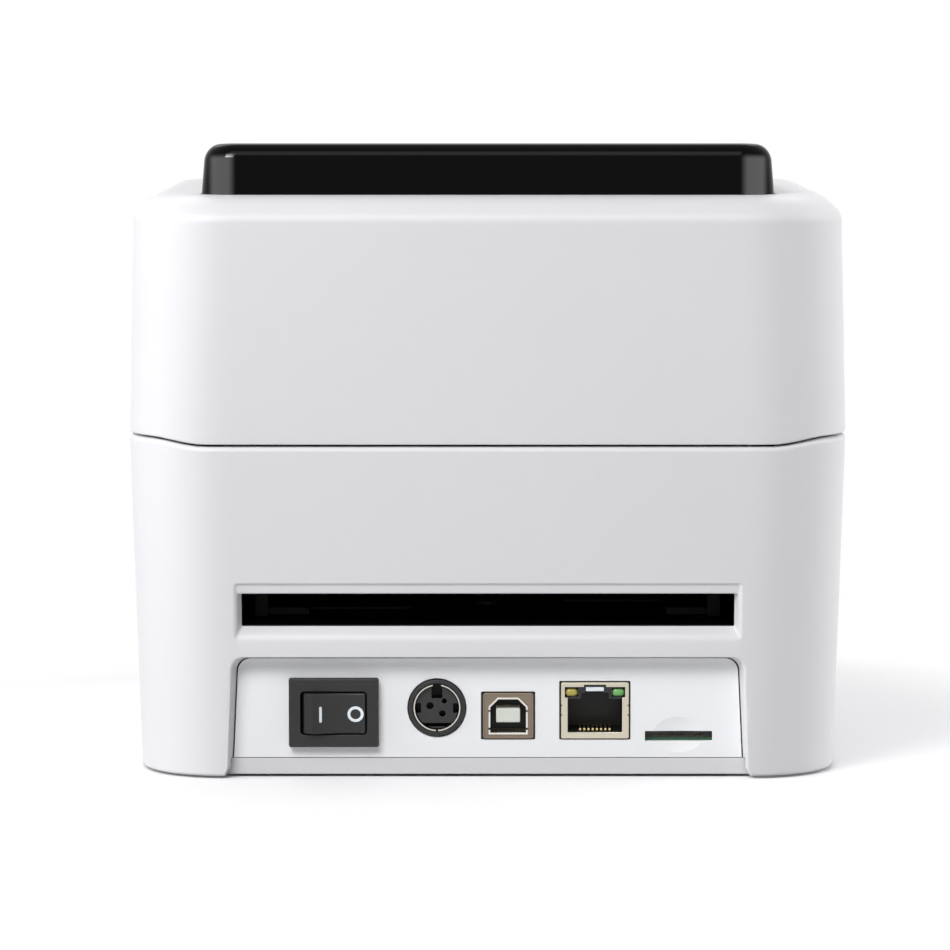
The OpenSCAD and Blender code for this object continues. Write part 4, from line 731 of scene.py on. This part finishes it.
BEZEL_T, WELL_W, WELL_H = 2.0, 15.7, 10.3
ROCKER_TALL, RAISED_END, LOW_END = 4.85, 5.5, -7.0
PIVOT_IN = 0.6
TILT = math.radians(10)
MARK_LIFT = 0.02

charcoal = moulded("charcoal_nylon", srgb(20, 20, 22), 0.5, mottle=0.05)
black = moulded("black_nylon", srgb(14, 14, 15), 0.5, mottle=0.06)
ink = moulded("white_print", srgb(236, 244, 250), 0.5, grain=0.1, mottle=0.01)

bezel_y = PANEL_Y + BEZEL_T
bezel = pressed("switch_bezel", centred(*SWITCH, SWITCH_W, SWITCH_H, 0.35), bezel_y, BEZEL_T,
                0.22)
back = pressed("switch_back", centred(*SWITCH, SWITCH_W - 1.8, SWITCH_H - 1.8, 0.3),
               PANEL_Y + 0.5, 13.5, 0.1, 2)
combine(bezel, [back], "UNION")
combine(bezel, [punched("well", centred(*SWITCH, WELL_W, WELL_H, 1.0), bezel_y, 11, 0.18)])
dress(smooth(bezel), "base", "black_plastic", charcoal, "switch_body")
flange = pressed("switch_flange", centred(*SWITCH, SWITCH_W + 0.36, SWITCH_H + 0.36, 0.5),
                 PANEL_Y + 0.3, 0.3, 0.1, 3)
combine(flange, [box_solid("inside", (SWITCH[0] - SWITCH_W / 2, SWITCH[0] + SWITCH_W / 2),
                           (PANEL_Y - 1, PANEL_Y + 1),
                           (SWITCH[1] - SWITCH_H / 2, SWITCH[1] + SWITCH_H / 2))])
dress(smooth(flange), "base", "black_plastic", black)


def rocker_face(u):
    """Height of the dished face above the pivot: a parabola, highest at the ends."""
    return 1.95 + 0.025 * u ** 2


def tilted(points):
    """Turns points (u, height, z) about the pivot by the rocker's resting tilt."""
    u, v, z = np.asarray(points, float).T
    c, s = math.cos(TILT), math.sin(TILT)
    return np.column_stack([SWITCH[0] + u * c - v * s, PANEL_Y + PIVOT_IN + u * s + v * c,
                            SWITCH[1] + z])


def rocker_ring(z, shrink):
    """Section of the rocker at one height: dished face, a bevel on the end that
    stands up, rounded lips and a blunt keel."""
    u = np.linspace(RAISED_END - shrink, LOW_END + shrink, 21)
    face = np.column_stack([u, rocker_face(u) - shrink])
    lip = rocker_face(LOW_END) - shrink
    rest = [[LOW_END - 0.12 + shrink, lip - 0.2], [-7.25, -1.8], [-3, -4.4], [3, -4.4],
            [7.3, -1.6], [7.2 - shrink, 1.0], [RAISED_END + 0.35 - shrink, 2.35 - shrink]]
    section = np.concatenate([face, rest])
    return tilted(np.column_stack([section, np.full(len(section), z)]))


edge = np.radians(np.linspace(0, 90, 5))
ends = [(ROCKER_TALL - 0.5 * (1 - np.sin(a)), 0.5 * (1 - np.cos(a))) for a in edge]
rings = [rocker_ring(-z, i) for z, i in ends[::-1]] + [rocker_ring(z, i) for z, i in ends]
rocker = skin("rocker", rings)
dress(smooth(rocker, 40), "rocker", "rocker_plastic", charcoal, "switch_rocker")


def printed(name, rings):
    """Thin print that lies on the rocker's face: its outline, then any hole's, are (u, z)."""
    top, low = [], []
    for u, z in (np.asarray(ring).T for ring in rings):
        top.append(tilted(np.column_stack([u, rocker_face(u) + MARK_LIFT, z])))
        low.append(tilted(np.column_stack([u, rocker_face(u) - 0.1, z])))
    if len(rings) == 1:
        return skin(name, [top[0], low[0]])
    return tube(name, low[:1] + top + low[1:])


bar = centred(3.5, -0.16, 0.66, 3.8, 0.3)
ring = [circle(-4.84, -0.16, radius, 48) for radius in (1.87, 1.2)]
for name, outline in (("mark_on", [bar]), ("mark_off", ring)):
    dress(smooth(printed(name, outline)), "rocker", "rocker_plastic", ink)

# ---------------------------------------------------------------- power socket
# A round three-contact power inlet: a black collar, a thin plated shield with
# a gap at its top, and a keyed insert with three contact holes.

def turned(name, x, z, face_y, profile, steps=72):
    """Ring turned about Y: the profile is (radius, depth behind face_y), closed."""
    a = np.linspace(0, 2 * math.pi, steps, endpoint=False)
    return tube(name, [np.column_stack([x + r * np.cos(a), np.full(steps, face_y - d),
                                        z + r * np.sin(a)]) for r, d in profile])


def metal(name, colour, rough, stretch=(1, 1, 1), scale=900.0, depth=0.12):
    """Stamped or turned metal: fine drawn lines in its gloss and relief."""
    f = Finish(name)
    lines = f.noise(scale, 3.0, stretch)
    cloud = f.noise(60.0, 2.0)
    tint = f.blend(cloud, scaled(colour, 0.94), scaled(colour, 1.03))
    return f.close({"Base Color": tint, "Metallic": 1.0,
                    "Roughness": rough - 0.06 + 0.12 * lines,
                    "Normal": f.bump(lines, depth, 0.02 * MM)})


nickel = metal("nickel_plate", srgb(214, 210, 200), 0.26, (1, 12, 1))
px, pz = POWER
collar = turned("power_collar", px, pz, PANEL_Y + 0.5, [
    (5.75, 0.15), (5.9, 0.0), (6.5, 0.0), (6.68, 0.06), (6.8, 0.3), (6.8, 12.0), (5.75, 12.0)])
dress(smooth(collar), "base", "black_plastic", charcoal)
shield = turned("power_shield", px, pz, PANEL_Y + 0.3, [
    (5.26, 0.04), (5.3, 0.0), (5.56, 0.0), (5.6, 0.04), (5.6, 8.0), (5.26, 8.0)])
through = PANEL_Y - 9, PANEL_Y + 1
combine(shield, [box_solid("gap", (px - 1.0, px + 1.0), through, (pz + 4, pz + 7)),
                 box_solid("tab", (px - 0.25, px + 0.25), through, (pz - 7, pz - 4))])
dress(smooth(shield), "base", "nickel", nickel, "dc_shield")
insert = pressed("power_insert", circle(px, pz, 5.05), PANEL_Y - 0.7, 9.0, 0.12, 3)
cuts = [punched("key", centred(px, pz + 3.6, 2.5, 3.0, 0.2), PANEL_Y - 0.7, 6),
        box_solid("flat", (px - 4, px + 4), (PANEL_Y - 6, PANEL_Y), (pz - 4.6, pz - 3.7))]
cuts += [punched("notch", centred(px + side * 4.5, pz - 0.2, 1.3, 2.3, 0.2), PANEL_Y - 0.7, 6)
         for side in (-1, 1)]
cuts += [punched("contact", circle(px + dx, pz + dz, r, 32), PANEL_Y - 0.7, 5, 0.14)
         for dx, dz, r in ((1.65, 0.35, 0.82), (-1.75, 1.5, 0.6), (-1.3, -1.5, 0.75))]
combine(insert, cuts)
insert_grey = moulded("insert_nylon", srgb(32, 32, 34), 0.5, mottle=0.05)
dress(smooth(insert), "base", "black_plastic", insert_grey, "dc_socket")

# ----------------------------------------------------------------- data socket
# A square data socket: a folded plated shell with a chamfered mouth, sprung
# liners round the mouth, a black carrier and a pale contact tongue.

dx, dz = DATA
SHELL_FACE = PANEL_Y + 0.3
shell = pressed("data_shell", centred(dx, dz, *DATA_SHELL, 0.7), SHELL_FACE, 16, 0.14, 4)
combine(shell, [punched("fold", centred(dx, dz, 11.2, 10.06, 0.4), SHELL_FACE, 0.45, 0.08)])
mouth_points = np.array([[-4.7, -4.55], [4.7, -4.55], [4.7, 2.2], [2.5, 4.35],
                         [-2.5, 4.35], [-4.7, 2.2]]) + [dx, dz]
combine(shell, [punched("data_mouth", mouth_points, SHELL_FACE - 0.45, 10, 0.1)])
# The shell's nickel is a darker copy of the plating: painted shade on its face.
shade_painted_nickel = metal("shade_painted_nickel", srgb(134, 122, 108), 0.36, (1, 12, 1))
dress(smooth(shell), "base", "nickel", shade_painted_nickel, "usb_shell")
liner = pressed("data_liner", inset(mouth_points, 0.02), SHELL_FACE - 0.3, 6, 0.1, 3)
across, along = (dx - 6, dx + 6), (SHELL_FACE - 9, SHELL_FACE)
combine(liner, [punched("inside", inset(mouth_points, 0.46), SHELL_FACE - 0.3, 8, 0.05),
                box_solid("sides", across, along, (dz - 3.4, dz - 2.9)),
                box_solid("arms", across, along, (dz + 0.9, dz + 1.3))])
# The liners' nickel is a brighter copy of the plating: a painted highlight.
highlight_painted_nickel = metal("liner_highlight_nickel", srgb(232, 228, 220), 0.24, (1, 12, 1))
dress(smooth(liner), "base", "nickel", highlight_painted_nickel)
carrier = pressed("data_carrier", inset(mouth_points, 0.4), PANEL_Y - 8.5, 6, 0.1, 2)
dress(smooth(carrier), "base", "black_plastic", black)
pale = moulded("pale_nylon", srgb(222, 226, 216), 0.42)
tongue = pressed("data_tongue", centred(dx, dz - 0.05, 5.7, 3.35, 0.25), PANEL_Y - 0.9, 8.2,
                 0.2)
dress(smooth(tongue), "base", "pale_plastic", pale, "usb_insert")

# -------------------------------------------------------------- network socket
# An eight-contact network jack: plated shell, black nylon body with the latch
# step, two lamps in dark frames and eight sprung contacts on its floor.

nx, nz = NETWORK
HALF_CAVITY, CAVITY_LOW, CAVITY_HIGH = 6.47, -5.2, 3.1
LAMP_X, LAMP_Z, LAMP_W, LAMP_H = 5.55, 4.25, 3.0, 2.0
window_cut = np.array([
    [-HALF_CAVITY, CAVITY_LOW], [HALF_CAVITY, CAVITY_LOW], [HALF_CAVITY, CAVITY_HIGH],
    [7.15, CAVITY_HIGH], [7.15, 5.6], [2.6, 5.6], [2.6, 6.15], [-2.6, 6.15], [-2.6, 5.6],
    [-7.15, 5.6], [-7.15, CAVITY_HIGH], [-HALF_CAVITY, CAVITY_HIGH]]) + [nx, nz]
jack = pressed("network_shell", centred(nx, nz, *NETWORK_SHELL, 0.45), SHELL_FACE, 16, 0.16,
               4)
combine(jack, [punched("opening", window_cut, SHELL_FACE, 14, 0.1)])
for side in (-1, 1):
    combine(jack, [box_solid("fold", sorted((nx + side * 7.75, nx + side * 8.3)),
                             (SHELL_FACE - 3, SHELL_FACE + 1), (nz + z, nz + z + 0.3))
                   for z in (-1.2, 1.1)])
jack_nickel = metal("jack_nickel", srgb(206, 200, 182), 0.3, (1, 12, 1))
dress(smooth(jack), "base", "nickel", jack_nickel, "lan_shell")
body = pressed("network_body", inset(window_cut, 0.03), SHELL_FACE - 0.35, 13, 0.05, 2)
cavity = np.array([
    [-6.3, -5.05], [6.3, -5.05], [6.3, 2.7], [3.2, 2.7], [3.2, 4.1], [2.25, 4.1], [2.25, 5.75],
    [-2.25, 5.75], [-2.25, 4.1], [-3.2, 4.1], [-3.2, 2.7], [-6.3, 2.7]]) + [nx, nz]
combine(body, [punched("cavity", cavity, SHELL_FACE - 0.35, 11.5, 0.12)]
        + [punched("lamp", centred(nx + side * LAMP_X, nz + LAMP_Z, LAMP_W, LAMP_H, 0.2),
                   SHELL_FACE - 0.35, 8, 0.1) for side in (-1, 1)])
dress(smooth(body), "base", "black_plastic", black, "lan_insert")
latch_stop = pressed("latch_stop", centred(nx, nz + 5.05, 4.3, 1.0, 0.1), SHELL_FACE - 0.45,
                     2, 0.1, 3)
dress(smooth(latch_stop), "base", "pale_plastic", ink)
lens_colours = {"amber_lens": srgb(184, 168, 84), "green_lens": srgb(112, 178, 98)}
swell = np.sin(np.radians(np.linspace(8, 90, 7)))
for side, (name, colour) in zip((1, -1), lens_colours.items()):
    at = np.array([nx + side * LAMP_X, nz + LAMP_Z])
    rim = centred(*at, LAMP_W - 0.1, LAMP_H - 0.1, 0.85) - at
    rings = [np.insert(at + grow * rim, 1, SHELL_FACE - 0.25 - 0.55 * grow ** 3, axis=1)
             for grow in swell]
    rings.append(np.insert(at + rim, 1, SHELL_FACE - 7.5, axis=1))
    tinted = moulded(name, colour, 0.18, grain=0.02, mottle=0.12)
    dress(smooth(skin(name, rings), 60), "base", "light_lens", tinted,
          *(("lan_lights",) if side > 0 else ()))
gold = metal("gold_flash", srgb(226, 206, 150), 0.22)
CONTACT_PITCH, CONTACT_HALF = 1.0, 0.22
wire_yz = np.array([[-1.0, -4.85], [-1.0, -4.35], [-1.8, -4.15], [-8.2, -3.8], [-8.4, -4.05],
                    [-2.0, -4.85]]) + [PANEL_Y, nz]
for k in range(8):
    x = nx + (k - 3.5) * CONTACT_PITCH
    wire = skin("contact_%d" % (k + 1), [np.insert(wire_yz, 0, x + half, axis=1)
                                         for half in (-CONTACT_HALF, CONTACT_HALF)])
    dress(smooth(wire), "base", "contact_gold", gold, *(("lan_contacts",) if k == 0 else ()))

# ------------------------------------------------------------ card slot, gap shade
# The memory card socket is a black nylon tray under a stamped cover, soldered to the board; black
# sheets behind the gaps round the two data sockets are painted shade.

low, high = span("card_socket")
card_body = pressed("card_tray", centred(CARD_X, CARD_Z + 0.3, CARD_W + 0.6, 2.6, 0.1),
                    PANEL_Y - PANEL_T - 0.25, 0.4, 0.05, 2)
board_top = high[2] - 1.5
card_cuts = [box_solid("board_gap", (CARD_X - 9, CARD_X + 9), (PANEL_Y - 4, PANEL_Y),
                       (board_top - 4, board_top + 0.02)),
             box_solid("card_mouth", (CARD_X - 6.2, CARD_X + 6.2), (PANEL_Y - 4, PANEL_Y),
                       (board_top + 0.25, board_top + 1.1))]
combine(card_body, card_cuts)
dress(smooth(card_body), "base", "black_plastic", black)
# Black sheets behind the panel darken the gaps round the data sockets: painted shade.
for name, (x, z), (width, height) in (("data_gap_shade", DATA, DATA_SHELL),
                                      ("network_gap_shade", NETWORK, NETWORK_SHELL)):
    gap_shade = pressed(name, centred(x, z, width + 1.1, height + 0.9, 0.3), PANEL_Y - 0.9, 1.0,
                     0.1, 3)
    w, h = width / 2 + 0.02, height / 2 + 0.02
    combine(gap_shade, [box_solid("inside", (x - w, x + w), (PANEL_Y - 4, PANEL_Y), (z - h, z + h))])
    dress(smooth(gap_shade), "base", "black_plastic", black)

# ------------------------------------------------------- keys and status lights
# Two satin grey keys with dished tops, moulded with rounded rims, and three clear
# light pipes, one for each state, pressed into the lid's slope.

key_grey = moulded("key_grey", srgb(128, 130, 135), 0.38)
KEY_PROUD = 1.6
for name, body, run in (("feed_key", "feed_button", KEY_RUNS[0]),
                        ("pause_key", "pause_button", KEY_RUNS[1])):
    turn = np.radians(np.linspace(0, 90, 6))
    rim = [(KEY_PROUD - 0.8 + 0.8 * np.sin(t), KEY_R - 0.8 + 0.8 * np.cos(t)) for t in turn]
    bowl = [(KEY_PROUD - 0.35 * (1 - (r / (KEY_R - 0.9)) ** 2), r)
            for r in (KEY_R - 1.2, 3.0, 2.0, 1.0, 0.05)]
    key = slope_rod(name + "_cap", KEY_X, run, [(-4.0, KEY_R), (-3.99, KEY_R)] + rim + bowl)
    dress(smooth(key, 50), body, "key_plastic", key_grey, name)
lens_tints = {"ready_lens": srgb(120, 196, 132), "paper_lens": srgb(222, 170, 74),
              "power_lens": srgb(122, 170, 214)}
for (name, colour), x in zip(lens_tints.items(), LIGHT_XS):
    turn = np.radians(np.linspace(0, 88, 6))
    dome_levels = [(0.35 * np.sin(t), LIGHT_R * np.cos(t) ** 0.6) for t in turn]
    pipe = slope_rod(name, x, LIGHT_RUN, [(-4.0, LIGHT_R)] + dome_levels, 32)
    clear = moulded(name, colour, 0.12, grain=0.02, mottle=0.08)
    dress(smooth(pipe, 60), "lid", "status_lens", clear,
          *(("status_lights",) if name == "ready_lens" else ()))

# ------------------------------------------------------------ base cover and feet
# The base cover is one white moulding with a stiffening rim, a row of vents and
# sunk seats for its screws and for the four glued rubber feet.

COVER_Z, COVER_RIM_Z = 1.9, 0.6
FOOT_X, FOOT_YS, FOOT_R = 66.0, (-59.0, 59.0), 6.0
HEAD_R, VENT_PITCH = 2.7, 5.0


def cover_ring(z, extra):
    """Plan of the cover at one height: the tub's inside less a gap, and drawn back
    to the panel's face where the recess opens."""
    ring = base_ring(COVER_Z, WALL + 0.3 + extra)
    return lifted(np.minimum(ring, [1e3, PANEL_Y - 0.05 - extra]), z, 0)


cover = skin("base_cover", [cover_ring(z, extra) for z, extra in (
    (COVER_Z, 1.8), (COVER_RIM_Z + 0.1, 1.7), (COVER_RIM_Z, 1.6), (COVER_RIM_Z, 0.3),
    (COVER_RIM_Z + 0.1, 0.08), (COVER_RIM_Z + 0.3, 0.0), (PLATE_TOP, 0.0))])
cuts = [box_solid("vent", (VENT_PITCH * i - 1, VENT_PITCH * i + 1), (-10, 22),
                  (0, PLATE_TOP + 1)) for i in range(-7, 8)]
for side in (-1, 1):
    for y in BOSS_YS:
        cuts.append(rod("screw_seat", (side * BOSS_X, y, 0), 2, [0.0, 3.1],
                        [HEAD_R + 0.25] * 2))
        cuts.append(rod("screw_hole", (side * BOSS_X, y, 0), 2, [0.0, 6.0], [1.65] * 2, 24))
    for y in FOOT_YS:
        cuts.append(rod("foot_seat", (side * FOOT_X, y, 0), 2, [0.0, 2.5], [FOOT_R + 0.1] * 2))
combine(cover, cuts)
dress(smooth(cover), "base", "white_shell", white, "base_plate")
rubber = moulded("black_rubber", srgb(30, 30, 31), 0.8, grain=0.25, grain_size=0.9, mottle=0.1)
for k, (side, y) in enumerate([(side, y) for side in (-1, 1) for y in FOOT_YS]):
    levels = [0.35, 0.02, 0.0, 0.06, 0.35, 0.8, 2.5]
    radii = [0.05, 3.4, FOOT_R - 1.4, FOOT_R - 0.75, FOOT_R - 0.3, FOOT_R, FOOT_R]
    foot = rod("foot_%d" % (k + 1), (side * FOOT_X, y, 0), 2, levels, radii)
    dress(smooth(foot, 50), "base", "rubber", rubber, *(("rubber_feet",) if k == 0 else ()))

# ------------------------------------------------------------ plain finishes
# The pieces whose solids are already the right shape, from the board to the rolls
# and gears: each gets the finish of the plastic or metal that it is made of.

acetal = moulded("white_acetal", srgb(222, 222, 214), 0.35)
hub_grey = moulded("hub_grey", srgb(120, 122, 127), 0.45)
latch_grey = moulded("latch_grey", srgb(112, 114, 119), 0.42)
steel = metal("zinc_steel", srgb(186, 188, 190), 0.34, (1, 1, 14))
screw_steel = metal("screw_steel", srgb(150, 151, 153), 0.36)
aluminium = metal("aluminium", srgb(192, 194, 196), 0.38, (12, 1, 1))
motor_metal = metal("motor_steel", srgb(120, 121, 124), 0.42, (12, 1, 1))
brass = metal("brass", srgb(196, 164, 96), 0.3)
mask_green = moulded("solder_mask", srgb(24, 92, 58), 0.32, grain=0.15, grain_size=1.4,
                     mottle=0.12)
component = moulded("component_epoxy", srgb(34, 34, 36), 0.5, mottle=0.1)
glaze = moulded("ceramic_glaze", srgb(112, 98, 86), 0.15, mottle=0.06)

for material, names in (
        (screw_steel, "base_screws board_screws tray_screws liner_screws idler_stud hinge_pins "
                      "head_pin head_springs platen_shaft motor_shaft"),
        (steel, "tear_bar drive_plate platen_plate head_bracket"),
        (motor_metal, "stepper_motor"), (aluminium, "heat_sink"), (nickel, "card_socket"),
        (brass, "switch_terminals motor_pinion"), (glaze, "print_head"),
        (mask_green, "main_board key_board"), (component, "board_parts"),
        (charcoal, "media_tray hinge_arm_left hinge_arm_right lid_liner guide_left guide_right"),
        (acetal, "platen_bearings guide_pinion platen_gear idler_gear"),
        (hub_grey, "hub_left hub_right"), (latch_grey, "latch_left latch_right"),
        (black, "gap_sensor"), (rubber, "platen_roller")):
    for name in names.split():
        nodes[name].data.materials.clear()
        nodes[name].data.materials.append(material)

# -------------------------------------------------------------- stage and light
# A pale paper floor and a white surround, lit by soft boxes: two above the camera,
# one grazing the left side, two grazing the right and one over the front.

LOW_BOX = 0.5


def soft_box(name, power, position, size, target=(0.0, 0.0, 0.07)):
    """Rectangular lamp of that power in watts, aimed at a target. One that stands
    below LOW_BOX is kept out of mirror reflections."""
    lamp = bpy.data.lights.new(name, "AREA")
    lamp.shape, lamp.size, lamp.size_y, lamp.energy = "RECTANGLE", *size, power
    obj = bpy.data.objects.new(name, lamp)
    bpy.context.scene.collection.objects.link(obj)
    obj.visible_glossy = position[2] > LOW_BOX
    obj.location = position
    aim = Vector([b - a for a, b in zip(position, target)])
    obj.rotation_euler = aim.to_track_quat("-Z", "Y").to_euler()


soft_box("left_box", 6.0, (0.95, 0.20, 0.26), (0.4, 0.8), (0.0, 0.0, 0.05))
soft_box("right_box", 4.9, (-1.0, -0.02, 0.35), (0.4, 0.8))
soft_box("right_back_box", 3.7, (-0.85, -0.35, 0.35), (0.4, 0.8))
soft_box("overhead_box", 5.2, (0.15, 0.85, 1.00), (0.8, 0.5))
soft_box("key_box", 8.6, (0.55, 0.95, 0.85), (0.6, 0.5))
soft_box("front_box", 4.5, (0.1, -0.95, 1.05), (1.2, 0.6))


def seen(f):
    """1 for rays from the camera, a mirror or glass, 0 for the light itself."""
    camera_ray, mirror, glass = (f.node("ShaderNodeLightPath", output=k) for k in (
        "Is Camera Ray", "Is Glossy Ray", "Is Transmission Ray"))
    return camera_ray.math("MAXIMUM", camera_ray.math("MAXIMUM", camera_ray, mirror), glass)


FLOOR_HALF = 3000.0
SHADOW_FROM, SHADOW_TO = 0.11, 0.18
floor = piece_from("floor", [[-FLOOR_HALF, -FLOOR_HALF, 0], [FLOOR_HALF, -FLOOR_HALF, 0],
                             [FLOOR_HALF, FLOOR_HALF, 0], [-FLOOR_HALF, FLOOR_HALF, 0]],
                   [[0, 1, 2, 3]])
paper = Finish("floor_paper")
far = paper.node("ShaderNodeVectorMath", {"operation": "LENGTH"}, {0: paper.place()}, output=1)
clear = paper.node("ShaderNodeMapRange", {"interpolation_type": "SMOOTHSTEP"}, {
    "Value": far, "From Min": SHADOW_FROM, "From Max": SHADOW_TO})
sheet = paper.node("ShaderNodeBsdfPrincipled", sockets={
    "Base Color": paper.blend(seen(paper), srgb(194, 194, 195), srgb(250, 250, 251)),
    "Roughness": 0.6})
glow = paper.node("ShaderNodeEmission", sockets={"Color": (1, 1, 1, 1), "Strength": 1.0})
paper.end(paper.node("ShaderNodeMixShader",
                     sockets={0: seen(paper) * clear, 1: sheet, 2: glow}))
floor.data.materials.append(paper.material)

world = bpy.data.worlds.new("surround")
bpy.context.scene.world = world
surround = Finish("surround", world)
ambient, white_out = (
    surround.node("ShaderNodeBackground", sockets={"Color": (1, 1, 1, 1), "Strength": strength})
    for strength in (0.02, 1.0))
surround.end(surround.node("ShaderNodeMixShader",
                           sockets={0: seen(surround), 1: ambient, 2: white_out}),
             "ShaderNodeOutputWorld")

# ---------------------------------------------------------------------- camera
# Behind the printer and a little above it, on a long lens that keeps its sides
# nearly square.

CAMERA = (0.00307, 1.3675, 0.17765)
PITCH = 4.778
LENS = 203.33
camera = bpy.data.cameras.new("camera")
camera.lens, camera.sensor_width = LENS, 36.0
camera_obj = bpy.data.objects.new("camera", camera)
bpy.context.scene.collection.objects.link(camera_obj)
camera_obj.location = CAMERA
camera_obj.rotation_euler = (math.radians(90 - PITCH), 0.0, math.pi)
bpy.context.scene.camera = camera_obj
bpy.context.scene.view_settings.view_transform = "Standard"
